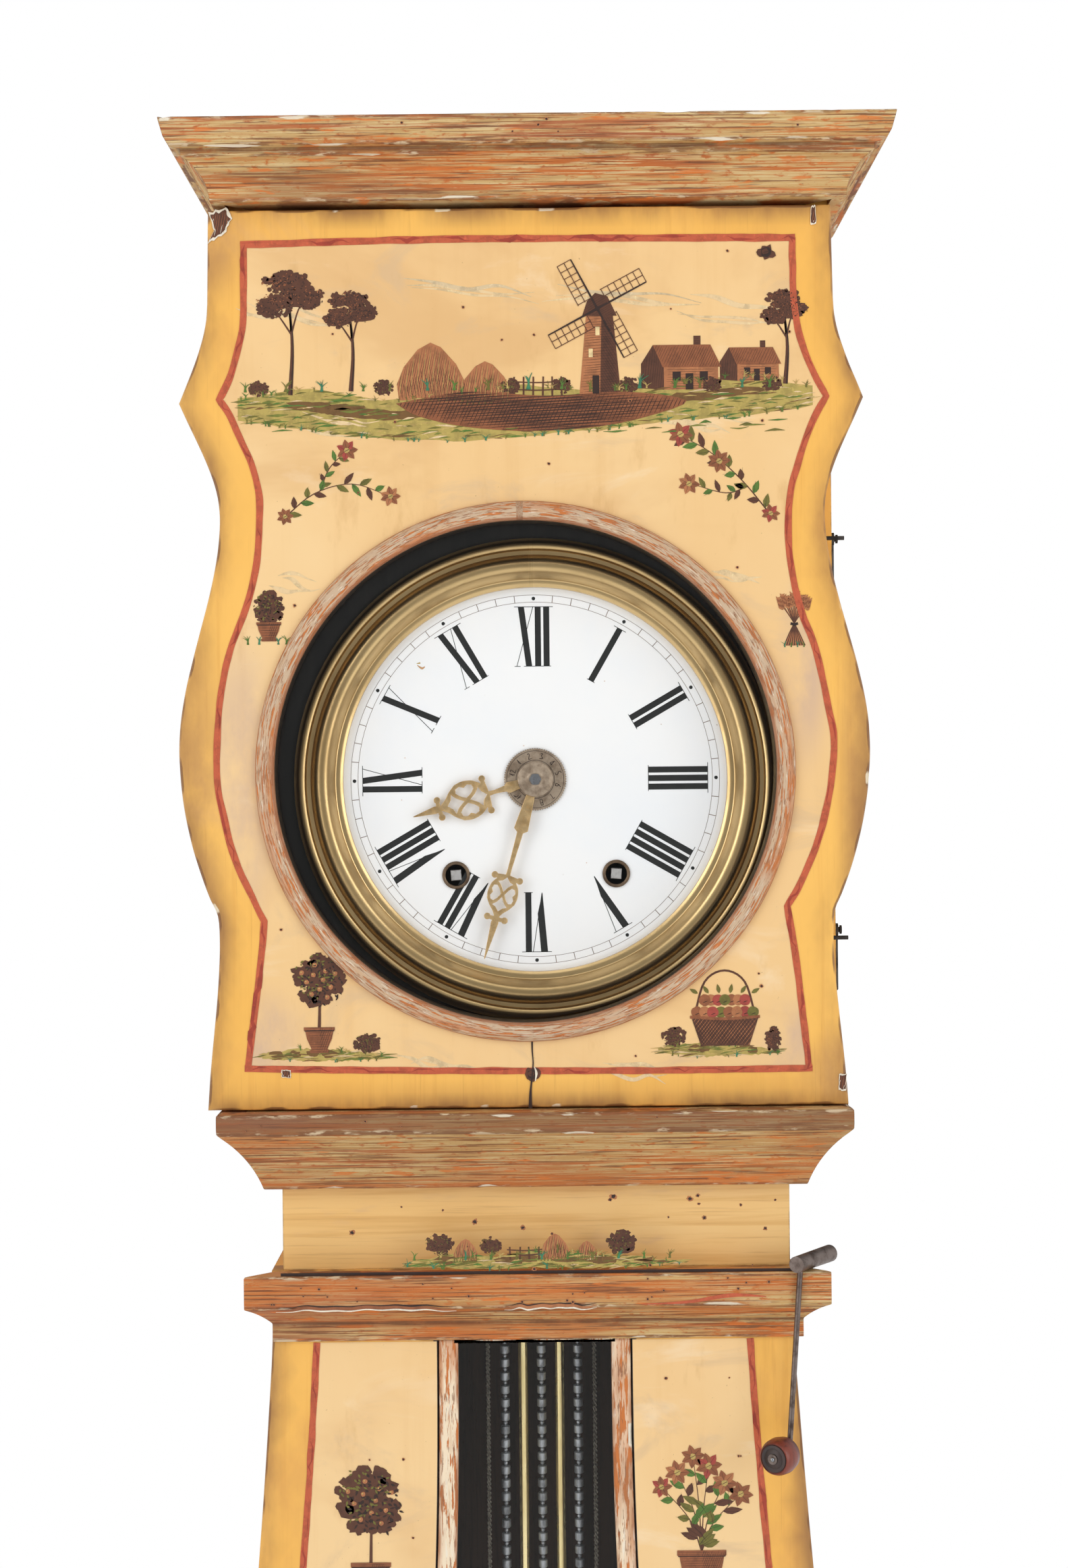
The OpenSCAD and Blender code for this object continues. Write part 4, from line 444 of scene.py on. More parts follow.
TONES = {
    "ink": (50, 31, 24), "umber": (92, 54, 36), "rust": (148, 88, 54), "sienna": (178, 114, 72),
    "olive": (114, 108, 44), "grass": (86, 120, 46), "teal": (60, 128, 92),
    "straw": (192, 164, 94), "cloud": (216, 192, 152), "wisp": (232, 202, 154),
    "cream": (236, 208, 152), "bank": (184, 162, 86), "moss": (118, 124, 50),
    "brown": (118, 84, 42), "stripe": (196, 92, 58), "stripe_dark": (166, 62, 42),
    "rose": (168, 70, 58), "chalk": (236, 226, 206), "numeral": (22, 24, 24),
    "track": (120, 98, 84), "mark": (196, 150, 104), "pale": (226, 196, 150),
}
TONES = {name: ink("paint_" + name, tone) for name, tone in TONES.items()}


# Shapes

def piece(name, verts, faces, looks, body, slot, nodes=(), smooth=35, marks=None, closed=True,
          which=None, uv=None):
    """Makes a mesh object that rides on a body and may stand for some CAD nodes."""
    mesh = bpy.data.meshes.new(name)
    mesh.from_pydata([tuple(v) for v in verts], [], faces)
    for look in looks if isinstance(looks, list) else [looks]:
        mesh.materials.append(look)
    if which:
        mesh.polygons.foreach_set("material_index", which)
    for mark, values in (marks or {}).items():
        mesh.attributes.new(mark, "FLOAT", "POINT").data.foreach_set("value", values)
    if uv:
        layer = mesh.uv_layers.new(name="UVMap")
        for loop in mesh.loops:
            layer.data[loop.index].uv = uv[loop.vertex_index]
    if closed:
        work = bmesh.new()
        work.from_mesh(mesh)
        bmesh.ops.recalc_face_normals(work, faces=work.faces)
        work.to_mesh(mesh)
        work.free()
    mesh.shade_smooth()
    mesh.set_sharp_from_angle(angle=math.radians(smooth))
    made = bpy.data.objects.new(name, mesh)
    scene.collection.objects.link(made)
    if body:
        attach(made, body)
    if nodes:
        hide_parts(*nodes)
    return made


def polar(radius, angle):
    """A step of some length at an angle in radians."""
    return Vector((radius * math.cos(angle), radius * math.sin(angle)))


def circle(radius, count=180, x=0.0, z=0.0):
    return [Vector((x, z)) + polar(radius, 2 * math.pi * k / count) for k in range(count)]


def area(loop):
    """The area of an outline, positive where it turns to the left."""
    return sum(a[0] * b[1] - b[0] * a[1] for a, b in zip(loop, loop[1:] + loop[:1])) / 2


def front_loops(node):
    """The outlines of a CAD node's front faces, as (x, z) points, the longest first."""
    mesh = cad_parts[node].data
    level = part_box(node)[0].y
    edges = {}
    for face in mesh.polygons:
        corners = [mesh.vertices[i].co for i in face.vertices]
        if all(abs(c.y - level) < 0.02 * MM for c in corners):
            keys = [(round(c.x, 6), round(c.z, 6)) for c in corners]
            edges.update({pair: True for pair in zip(keys, keys[1:] + keys[:1])})
    border = {a: b for a, b in edges if (b, a) not in edges}
    loops = []
    while border:
        start, here = border.popitem()
        loop = [Vector(start)]
        while here != start and here in border:
            loop.append(Vector(here))
            here = border.pop(here)
        if here == start and len(loop) > 2:
            loops.append(loop)
    return sorted(loops, key=lambda loop: -abs(area(loop)))


def bend(before, here, after):
    """The turn at a corner in degrees, positive to the left."""
    first, second = here - before, after - here
    return math.degrees(math.atan2(first.x * second.y - first.y * second.x, first.dot(second)))


def tidy(loop, least=0.05 * MM):
    """The loop without its double points and its points on straight lines."""
    kept = []
    for point in loop:
        if not kept or (point - kept[-1]).length > least:
            kept.append(point)
    return [p for i, p in enumerate(kept)
            if abs(bend(kept[i - 1], p, kept[(i + 1) % len(kept)])) > 0.2]


def catmull(a, b, c, d, t):
    """A point between b and c on a smooth curve through four points."""
    return 0.5 * (2 * b + (c - a) * t + (2 * a - 5 * b + 4 * c - d) * t * t
                  + (3 * b - a - 3 * c + d) * t ** 3)


def smooth_loop(loop, step, corner=24):
    """A closed outline with curves between its corners, with points at most step apart."""
    loop = tidy(loop)
    count = len(loop)
    lengths = [(loop[(i + 1) % count] - loop[i]).length for i in range(count)]
    sharp = [abs(bend(loop[i - 1], loop[i], loop[(i + 1) % count])) > corner
             or not 0.34 < lengths[i] / lengths[i - 1] < 3 for i in range(count)]
    made = []
    for i in range(count):
        b, c = loop[i], loop[(i + 1) % count]
        a = 2 * b - c if sharp[i] else loop[i - 1]
        d = 2 * c - b if sharp[(i + 1) % count] else loop[(i + 2) % count]
        parts = max(1, math.ceil(lengths[i] / step))
        made += [catmull(a, b, c, d, k / parts) for k in range(parts)]
    return made


def inset(loop, amounts):
    """The loop moved to its left by the amount given for each point."""
    made = []
    for i, point in enumerate(loop):
        before = (point - loop[i - 1]).normalized()
        after = (loop[(i + 1) % len(loop)] - point).normalized()
        way = before + after
        if way.length < 0.2:
            way = before
        way.normalize()
        side = Vector((-way.y, way.x))
        square = Vector((-before.y, before.x))
        made.append(point + side * amounts[i] / max(0.5, side.dot(square)))
    return made


def triangles(loops):
    """Triangles that fill the first outline and leave out the others."""
    flat = [Vector((p.x, p.y, 0)) for loop in loops for p in loop]
    made = []
    for tri in tessellate_polygon([[Vector((p.x, p.y, 0)) for p in loop] for loop in loops]):
        a, b, c = (flat[i] for i in tri)
        turn = (b - a).cross(c - a).z
        made.append(tuple(tri) if turn > 0 else tuple(reversed(tri)))
    return made


def inside(points, loops):
    """Which of the points lie inside the outlines, without their holes."""
    px, py = points[:, :1], points[:, 1:]
    found = np.zeros(len(points), bool)
    for loop in loops:
        a = np.array([tuple(p) for p in loop])
        b = np.roll(a, -1, 0)
        crossed = (a[:, 1] > py) != (b[:, 1] > py)
        rise = np.where(b[:, 1] == a[:, 1], 1, b[:, 1] - a[:, 1])
        at = a[:, 0] + (py - a[:, 1]) / rise * (b[:, 0] - a[:, 0])
        found ^= np.sum(crossed & (at > px), axis=1) % 2 == 1
    return found


def near_tree(points):
    """A search tree that tells how far the nearest of the points is."""
    tree = kdtree.KDTree(len(points))
    for i, p in enumerate(points):
        tree.insert((p.x, p.y, 0), i)
    tree.balance()
    return tree


def spread(loops, step):
    """Points about step apart inside the outlines, and triangles over all the points."""
    flat = [p for loop in loops for p in loop]
    tree = near_tree(flat)
    low = [min(p[k] for p in flat) for k in (0, 1)]
    high = [max(p[k] for p in flat) for k in (0, 1)]
    rows = np.arange(low[1], high[1], 0.87 * step)
    grid = np.array([(x + (step / 2 if k % 2 else 0), z) for k, z in enumerate(rows)
                     for x in np.arange(low[0], high[0], step)])
    grid = grid[inside(grid, loops)]
    extra = [Vector(p) for p in grid if tree.find((p[0], p[1], 0))[2] > 0.4 * step]
    edges, start = [], 0
    for loop in loops:
        edges += [(start + i, start + (i + 1) % len(loop)) for i in range(len(loop))]
        start += len(loop)
    places, _, faces, origin, _, _ = delaunay_2d_cdt(flat + extra, edges, [], 1, 1e-7, True)
    points = flat + extra
    ids = []
    for place, from_ids in zip(places, origin):
        if not from_ids:
            points.append(place)
        ids.append(from_ids[0] if from_ids else len(points) - 1)
    centres = np.array([tuple(sum((places[i] for i in f), Vector((0, 0))) / len(f))
                        for f in faces])
    kept = [tuple(ids[i] for i in f) for f, good in zip(faces, inside(centres, loops)) if good]
    return points[len(flat):], kept


def band(low, high, count):
    """Faces between two closed rings of points that start at low and high."""
    return [(low + i, low + (i + 1) % count, high + (i + 1) % count, high + i)
            for i in range(count)]


def plate(name, loops, front, back, look, body, slot, nodes=(), edge=0.8 * MM, step=5 * MM,
          grid=0.0, wear=0.5, chips=0.0, seed=0):
    """A flat board between two depths, its front edges rounded, worn and chipped."""
    loops = [smooth_loop(loop, step) for loop in loops]
    loops = [loop if (area(loop) > 0) == (i == 0) else loop[::-1] for i, loop in enumerate(loops)]
    arc = [math.radians(a) for a in (0, 22, 45, 68, 90)]
    rings = [(0, back, 0)] + [(edge * (1 - math.cos(a)), front + edge * (1 - math.sin(a)), 1)
                              for a in arc]
    if grid:
        rings.append((edge + 1.5 * MM, front, 0))
    verts, faces, marks, caps, feet = [], [], [], [], []
    for order, loop in enumerate(loops):
        start, count = len(verts), len(loop)
        # Points round a hole carry a mark, so that paint can lay painted shade on its walls
        hole = 1.0 if order else 0.0
        rough = [noise.noise(Vector((p.x * 70, p.y * 70, seed))) for p in loop]
        deep = [noise.noise(Vector((p.x * 45, p.y * 45, seed + 9))) - 0.45 for p in loop]
        deep = [max(0.0, d) * chips * 12 for d in deep]
        for number, (amount, y, worn) in enumerate(rings):
            bent = 0 < number <= len(arc)
            grow = [1 + wear * r + d if bent else 1 for r, d in zip(rough, deep)]
            for p, g in zip(inset(loop, [amount * g for g in grow]), grow):
                verts.append((p.x, front + (y - front) * g, p.y))
            marks += [(1.0, worn * min(1.0, 0.55 + r), worn * min(1.0, d), hole)
                      for r, d in zip(rough, deep)]
        for ring in range(len(rings) - 1):
            faces += band(start + ring * count, start + (ring + 1) * count, count)
        caps.append(list(range(len(verts) - count, len(verts))))
        feet.append(list(range(start, start + count)))

    def flat_faces(groups, fill):
        flat = [i for group in groups for i in group]
        outlines = [[Vector((verts[i][0], verts[i][2])) for i in group] for group in groups]
        return flat, outlines, fill(outlines)

    flat, _, tris = flat_faces(feet, triangles)
    faces += [tuple(flat[i] for i in tri[::-1]) for tri in tris]
    if grid:
        flat, outlines, (extra, tris) = flat_faces(caps, lambda outlines: spread(outlines, grid))
        border = near_tree(outlines[0])
        flat += range(len(verts), len(verts) + len(extra))
        verts += [(p.x, front, p.y) for p in extra]
        marks += [(max(0.0, 1 - border.find((p.x, p.y, 0))[2] / RIM) ** 2, 0.0, 0.0, 0.0)
                  for p in extra]
    else:
        flat, _, tris = flat_faces(caps, triangles)
    faces += [tuple(flat[i] for i in tri) for tri in tris]
    return piece(name, verts, faces, look, body, slot, nodes,
                 marks={mark: [v[k] for v in marks]
                        for k, mark in enumerate(("rim", "worn", "chip", "hole"))})


def lathe(name, profile, centre, look, body, slot, nodes=(), turns=144, axis="Y", closed=False,
          smooth=35, yaw=0.0):
    """A turned shape from (radius, distance along the axis, wear) points."""
    swing = Matrix.Rotation(yaw, 3, "Z")
    verts, faces, uv, values = [], [], [], []
    run = [0.0]
    for a, b in zip(profile, profile[1:]):
        run.append(run[-1] + math.dist(a[:2], b[:2]))
    widest = max(p[0] for p in profile)
    count = len(profile)
    for turn in range(turns):
        angle = 2 * math.pi * turn / turns
        for k, point in enumerate(profile):
            r, along = point[:2]
            x, z = r * math.sin(angle), r * math.cos(angle)
            place = (x, along, z) if axis == "Y" else (x, z, along)
            verts.append(Vector(centre) + swing @ Vector(place))
            uv.append((angle * widest, run[k]))
            values.append(point[2] if len(point) > 2 else 0.0)
    for turn in range(turns):
        low, high = turn * count, (turn + 1) % turns * count
        for k in range(count if closed else count - 1):
            n = (k + 1) % count
            faces.append((low + k, high + k, high + n, low + n))
    return piece(name, verts, faces, look, body, slot, nodes, smooth, uv=uv,
                 marks={"worn": values, "chip": [0.0] * len(values)})


def round_corners(points, radius, turn=20, parts=4):
    """The closed outline with its sharp corners rounded, and for each point how it bends."""
    made = []
    count = len(points)
    for i, point in enumerate(points):
        before, after = points[i - 1], points[(i + 1) % count]
        angle = bend(before, point, after)
        if abs(angle) < turn:
            made.append((point, 0.0))
            continue
        size = min(radius, 0.4 * (point - before).length, 0.4 * (after - point).length)
        first = point + (before - point).normalized() * size
        last = point + (after - point).normalized() * size
        for k in range(parts + 1):
            t = k / parts
            place = (1 - t) ** 2 * first + 2 * t * (1 - t) * point + t * t * last
            made.append((place, 1.0 if angle > 0 else -1.0))
    return made


def section(node, x=0.0):
    """The outline, as (y, z) points, where the plane at x cuts a CAD node."""
    work = bmesh.new()
    work.from_mesh(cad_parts[node].data)
    bmesh.ops.remove_doubles(work, verts=work.verts, dist=1e-6)
    bmesh.ops.bisect_plane(work, geom=work.verts[:] + work.edges[:] + work.faces[:],
                           plane_co=(x, 0, 0), plane_no=(1, 0, 0),
                           clear_inner=True, clear_outer=True)
    bmesh.ops.remove_doubles(work, verts=work.verts, dist=1e-6)
    best = []
    seen = set()
    for vert in work.verts:
        loop, here = [], vert
        while here is not None and here.index not in seen:
            seen.add(here.index)
            loop.append(Vector((here.co.y, here.co.z)))
            here = next((e.other_vert(here) for e in here.link_edges
                         if e.other_vert(here).index not in seen), None)
        if len(loop) > len(best):
            best = loop
    work.free()
    best = tidy(best, 0.01 * MM)
    return best if area(best) > 0 else best[::-1]


def moulding(node, inner=0.0, look="moulding", step=4 * MM, seed=0, sides=(0, -1, 1)):
    """A moulding round the case's front, mitred at the corners, with worn edges.

    Side 0 is the front, and the returns keep at least inner away from the middle.
    """
    low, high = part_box(node)
    middle, widest = (low.x + high.x) / 2, (high.x - low.x) / 2
    rounded = round_corners(section(node, middle), EDGE_R)
    outline = []
    for (a, mark), (b, _) in zip(rounded, rounded[1:] + rounded[:1]):
        parts = max(1, math.ceil((b - a).length / WEAR_STEP))
        outline += [(a.lerp(b, k / parts), mark if k == 0 else 0.0) for k in range(parts)]
    heart = sum((p for p, _ in outline), Vector((0, 0))) / len(outline)
    size = len(outline)
    for side in sides:
        verts, faces, marks = [], [], {"worn": [], "hollow": [], "chip": [], "fascia": []}
        length = 2 * widest if side == 0 else high.y - low.y
        count = math.ceil(length / step)
        for k in range(count + 1):
            share = k / count
            for n, (p, mark) in enumerate(outline):
                out = widest - (p.x - low.y)
                spot = Vector((share * 55 * length, n * 0.35, seed + 5 * side))
                wave = noise.noise(spot)
                loss = max(0.0, noise.noise(spot * 0.6 + Vector((7, 3, 1))) - 0.4)
                dent = (0.25 + 0.35 * wave) * 0.5 * MM + loss * 7 * MM if mark > 0 else 0.0
                move = (heart - p).normalized() * dent
                y, z = p.x + move.x, p.y + move.y
                if side == 0:
                    verts.append((middle + (out - MITRE_GAP) * (2 * share - 1), y, z))
                else:
                    start = y + MITRE_GAP
                    verts.append((middle + side * (max(out, inner) - (y - p.x)),
                                  start + (high.y - start) * share, z))
                marks["worn"].append(max(0.0, mark))
                # Concave corners of the section are marked for painted shade
                marks["hollow"].append(max(0.0, -mark))
                marks["chip"].append(min(1.0, 4 * loss) if mark > 0 else 0.0)
                marks["fascia"].append(1.0 if p.x - low.y < 1.5 * MM else 0.0)
        for k in range(count):
            faces += band(k * size, (k + 1) * size, size)
        ends = triangles([[p for p, _ in outline]])
        faces += [tuple(start + i for i in tri) for start in (0, count * size) for tri in ends]
        piece(f"{node}_{('front', 'right', 'left')[side]}", verts, faces, LOOKS[look], "case",
              "moulding_paint", (node,), marks=marks)


# Painted marks

def curve_points(points, parts=5):
    """A smooth open curve through the points."""
    points = [Vector(p) for p in points]
    if len(points) == 2:
        return [points[0].lerp(points[1], k / 3) for k in range(4)]
    full = [2 * points[0] - points[1]] + points + [2 * points[-1] - points[-2]]
    made = []
    for i in range(1, len(full) - 2):
        made += [catmull(*full[i - 1:i + 3], k / parts) for k in range(parts)]
    return made + [points[-1]]


def left_of(path, i):
    """The direction to the left of a path at one of its points."""
    way = path[min(i + 1, len(path) - 1)] - path[max(i - 1, 0)]
    return Vector((-way.y, way.x)).normalized()


def heading(angle):
    """The direction of an angle in degrees, and the direction to its left."""
    a = math.radians(angle)
    return Vector((math.cos(a), math.sin(a))), Vector((-math.sin(a), math.cos(a)))


def along(levels, t):
    """The value at a share of the way through a row of values."""
    place = t * (len(levels) - 1)
    i = min(int(place), len(levels) - 2)
    return levels[i] + (levels[i + 1] - levels[i]) * (place - i)


class Decor:
    """Thin painted shapes over a front face, gathered into one piece. Places are in mm."""

    def __init__(self, name, y, body, slot, seed, middle=(0.0, DIAL_Z)):
        self.name, self.y, self.body, self.slot = name, y, body, slot
        self.middle = middle
        self.verts, self.faces, self.tones, self.count = [], [], [], 0
        self.random = random.Random(seed)

    def put(self, points, faces, tone, layer):
        """Adds faces of one colour, each lot a hair in front of the one before."""
        start = len(self.verts)
        self.count += 1
        y = self.y - (layer + 1 + self.count % 23 / 25) * PAINT
        self.verts += [(self.middle[0] + p[0] * MM, y, self.middle[1] + p[1] * MM) for p in points]
        self.faces += [tuple(start + i for i in face) for face in faces]
        self.tones += [tone] * len(faces)

    def ribbon(self, sides, tone, layer):
        """A strip between pairs of points."""
        self.put(sides, [(k + 1, k + 3, k + 2, k) for k in range(0, len(sides) - 2, 2)],
                 tone, layer)

    def fill(self, points, tone, layer=0, holes=()):
        """Fills an outline, apart from its holes."""
        loops = [[Vector(p[:2]) for p in loop] for loop in (points, *holes)]
        self.put([p for loop in loops for p in loop], triangles(loops), tone, layer)

    def stroke(self, points, width, tone, layer=1, parts=5):
        """A brush stroke; width is one number, or two or more numbers along it."""
        path = curve_points(points, parts)
        widths = list(width) if isinstance(width, (tuple, list)) else [width, width]
        sides = []
        for i, p in enumerate(path):
            side = left_of(path, i) * (along(widths, i / (len(path) - 1)) / 2)
            sides += [p + side, p - side]
        self.ribbon(sides, tone, layer)

    def blob(self, x, z, rx, rz, tone, layer=0, rough=0.12, points=18, lean=0.0):
        """An uneven ellipse."""
        shape = []
        shift = self.random.uniform(0, 50)
        for k in range(points):
            a = 2 * math.pi * k / points
            r = 1 + rough * 2 * noise.noise(Vector((*(1.6 * polar(1, a)), shift)))
            u, v = rx * r * math.cos(a), rz * r * math.sin(a)
            shape.append((x + u * math.cos(lean) - v * math.sin(lean),
                          z + u * math.sin(lean) + v * math.cos(lean)))
        self.fill(shape, tone, layer)

    def leaf(self, x, z, angle, length, width, tone, layer=2):
        """A pointed leaf that starts at a place."""
        way, side = heading(angle)
        half = [(0, 0), (0.2, 0.36), (0.45, 0.5), (0.75, 0.3), (1, 0)]
        start = Vector((x, z))
        self.fill([start + way * u * length + side * v * width for u, v in half]
                  + [start + way * u * length - side * v * width for u, v in half[-2:0:-1]],
                  tone, layer)

    def hatch(self, shape, angle, gap, tone, layer=3, width=0.22, share=1.0):
        """Fine parallel lines inside an outline, as in an engraving."""
        way, side = heading(angle)
        points = [Vector((Vector(p[:2]).dot(way), Vector(p[:2]).dot(side))) for p in shape]
        low, high = min(p.y for p in points), max(p.y for p in points)
        level = low + gap / 2
        while level < high:
            cuts = sorted(p.x + (level - p.y) / (q.y - p.y) * (q.x - p.x)
                          for p, q in zip(points, points[1:] + points[:1])
                          if (p.y > level) != (q.y > level))
            for left, right in zip(cuts[::2], cuts[1::2]):
                cut = self.random.uniform(0, 0.12) * (right - left)
                right = left + (right - left) * share
                if right - left > 1.2:
                    end = level + self.random.uniform(-0.1, 0.1)
                    self.stroke([way * (left + cut) + side * level,
                                 way * (right - cut) + side * end],
                                (0.1, width, 0.1), tone, layer)
            level += gap * self.random.uniform(0.8, 1.2)

    def tuft(self, x, z, size, tone="grass", blades=7, layer=4, lean=36):
        """Blades of grass that fan out from one place."""
        for k in range(blades):
            a = math.radians(90 + self.random.uniform(-lean, lean))
            tall = size * self.random.uniform(0.6, 1.1)
            tip = (x + tall * math.cos(a) * 1.2, z + tall * math.sin(a))
            middle = (x + 0.35 * tall * math.cos(a) * 0.6, z + 0.6 * tall * math.sin(a))
            self.stroke([(x + 0.1 * (k - blades / 2) * size * 0.4, z), middle, tip],
                        (0.1 * size, 0.08 * size, 0.02 * size), tone, layer, 3)

    def crown(self, x, z, rx, rz, light="rust", layer=2, dabs=60):
        """Leaves in dabs: a dark mass, lighter ones over it and fine flecks."""
        size = 0.2 * math.sqrt(rx * rz)
        uniform = self.random.uniform
        self.blob(x, z, 0.8 * rx, 0.8 * rz, "umber", layer, 0.3, 26)
        for k in range(dabs):
            a, r = uniform(0, 2 * math.pi), uniform(0.62, 0.95)
            self.blob(x + rx * r * math.cos(a), z + rz * r * math.sin(a),
                      size * uniform(0.6, 1.1), size * uniform(0.5, 0.9),
                      "umber", layer, 0.3, 9, uniform(-0.6, 0.6))
        for tone, share, shift in (("ink", 1.0, 0.12), (light, 0.8, -0.14), ("ink", 0.5, 0.0)):
            layer += 1
            for k in range(int(dabs * share)):
                a, r = uniform(0, 2 * math.pi), math.sqrt(self.random.random())
                self.leaf(x + rx * (0.84 * r * math.cos(a) + shift),
                          z + rz * (0.84 * r * math.sin(a) - shift), uniform(150, 390),
                          size * uniform(0.5, 0.9), size * uniform(0.25, 0.4), tone, layer)

    def flower(self, x, z, size, tone="rose", petals=7):
        """A round flower, its petals of two colours in turn."""
        for k in range(petals):
            a = 360 * k / petals + self.random.uniform(-8, 8)
            self.leaf(x, z, a, size, size * 0.62, tone if k % 2 else "rust", 4)
            vein = polar(0.8 * size, math.radians(a))
            self.stroke([(x, z), (x + vein.x, z + vein.y)], (0.25, 0.1), "ink", 5)
        self.blob(x, z, size * 0.24, size * 0.24, "straw", 6)
        self.stroke([(x - 0.2 * size, z - 0.1 * size), (x + 0.2 * size, z + 0.1 * size)], 0.3,
                    "ink", 7)

    def twig(self, points, leaves, size):
        """A stem with leaves on both sides."""
        self.stroke(points, (0.8, 0.32), "umber", 2)
        path = curve_points(points)
        for k in range(leaves):
            i = 1 + int((len(path) - 2) * k / leaves)
            p, way = path[i], path[i + 1] - path[i - 1]
            a = math.degrees(math.atan2(way.y, way.x)) + (48 if k % 2 else -48)
            self.leaf(p.x, p.y, a + self.random.uniform(-14, 14),
                      size * self.random.uniform(0.7, 1.15), size * 0.42,
                      ("olive", "umber", "grass")[k % 3], 3)
            self.stroke([p, p + polar(0.8 * size, math.radians(a))], (0.22, 0.08), "ink", 4)

    def ground(self, left, right, top, foot, strokes):
        """A bank of grass in brush strokes; top and foot are heights along it."""
        count, span = 40, right - left
        uniform = self.random.uniform
        rims = [(left + span * t, along(levels, t) + uniform(-0.7, 0.7))
                for levels, way in ((top, 1), (foot, -1))
                for t in [k / count for k in range(count + 1)][::way]]
        self.fill(rims, "bank", 0)
        tones = ("olive", "straw", "grass", "bank", "moss", "pale", "olive", "straw", "brown")
        size = min(1, span / 150 + 0.35)
        for k in range(strokes // 12):
            t = uniform(0.1, 0.9)
            self.blob(left + span * t, 0.4 * along(foot, t) + 0.6 * along(top, t),
                      0.06 * span * uniform(0.5, 1), 2.4 * size, "brown", 1, 0.3)
        for k in range(strokes):
            t = self.random.random()
            x = left + span * t
            z = along(foot, t) + (along(top, t) - along(foot, t)) * uniform(-0.02, 1.0)
            long = uniform(0.3, 1) * min(15, 0.2 * span)
            lift = uniform(-0.05, 0.1) * long
            self.stroke([(x - long / 2, z - lift), (x, z + 0.3), (x + long / 2, z + lift)],
                        (0.15, uniform(0.5, 1.5) * size, 0.15),
                        tones[self.random.randrange(len(tones))], 1 + k % 3)
        for k in range(strokes // 8):
            for levels, greens in ((top, ("grass", "olive", "straw")),
                                   (foot, ("teal", "olive", "grass"))):
                t = self.random.random()
                self.tuft(left + span * t, along(levels, t) - 1, uniform(2.5, 5.5) * size,
                          greens[k % 3], 5, 5, 50)

    def make(self):
        """Makes the piece, with one material for each colour used."""
        names = sorted(set(self.tones))
        return piece(self.name, self.verts, self.faces, [TONES[n] for n in names], self.body,
                     self.slot, closed=False, which=[names.index(t) for t in self.tones])


def placed(x, z, wide, tall, points):
    """Points given as shares of a width and a height, brought to their place."""
    return [(x + wide * u, z + tall * v) for u, v in points]


def block(x, z, wide, tall, left, foot, right, top):
    """A rectangle given as shares of a width and a height."""
    return placed(x, z, wide, tall, ((left, foot), (right, foot), (right, top), (left, top)))


def pine(d, x, z, tall, wide):
    """An umbrella pine: a bent bare trunk under flat dark clouds of needles."""
    top = z + tall
    d.stroke([(x, z), (x + 1.5, z + 0.4 * tall), (x - 0.5, top - 0.2 * tall)], (3, 2, 1.2),
             "umber", 2)
    d.stroke([(x + 0.6, z), (x + 2, z + 0.4 * tall), (x, top - 0.2 * tall)], (0.8, 0.4), "ink", 3)
    for u, v, w in ((-0.55, 0.74, 0.55), (0.5, 0.8, 0.6), (-0.05, 0.92, 0.75)):
        d.stroke([(x + 1, z + 0.5 * tall), (x + u * wide * 0.5, z + (v - 0.1) * tall),
                  (x + u * wide, z + v * tall)], (1.2, 0.5), "umber", 2)
        d.crown(x + u * wide * 0.8, z + v * tall, w * wide, 0.1 * tall, dabs=34, layer=3)


def cottage(d, *size):
    """A small gabled house with a tiled roof and a chimney."""
    x, z, wide, tall = size
    wall = block(*size, 0, 0, 1, 0.55)
    gable = [(x - 0.42 * wide, z + 1)] + placed(*size, ((0, 0), (0, 0.55), (-0.2, 1),
                                                        (-0.42, 0.58)))
    roof = placed(*size, ((-0.02, 0.5), (1.06, 0.5), (0.86, 1), (-0.2, 1)))
    chimney = block(*size, 0.55, 0.9, 0.68, 1.2)
    for shape, tone, angle, layer in ((wall, "sienna", 0, 2), (gable, "umber", 84, 2),
                                      (chimney, "umber", 0, 2), (roof, "rust", 64, 4)):
        d.fill(shape, tone, layer)
        d.hatch(shape, angle, 1.5, "ink", layer + 1)
    for hole in ((0.16, 0.2, 0.31, 0.4), (0.66, 0.2, 0.81, 0.4), (0.4, 0, 0.54, 0.36)):
        d.fill(block(*size, *hole), "ink", 4)


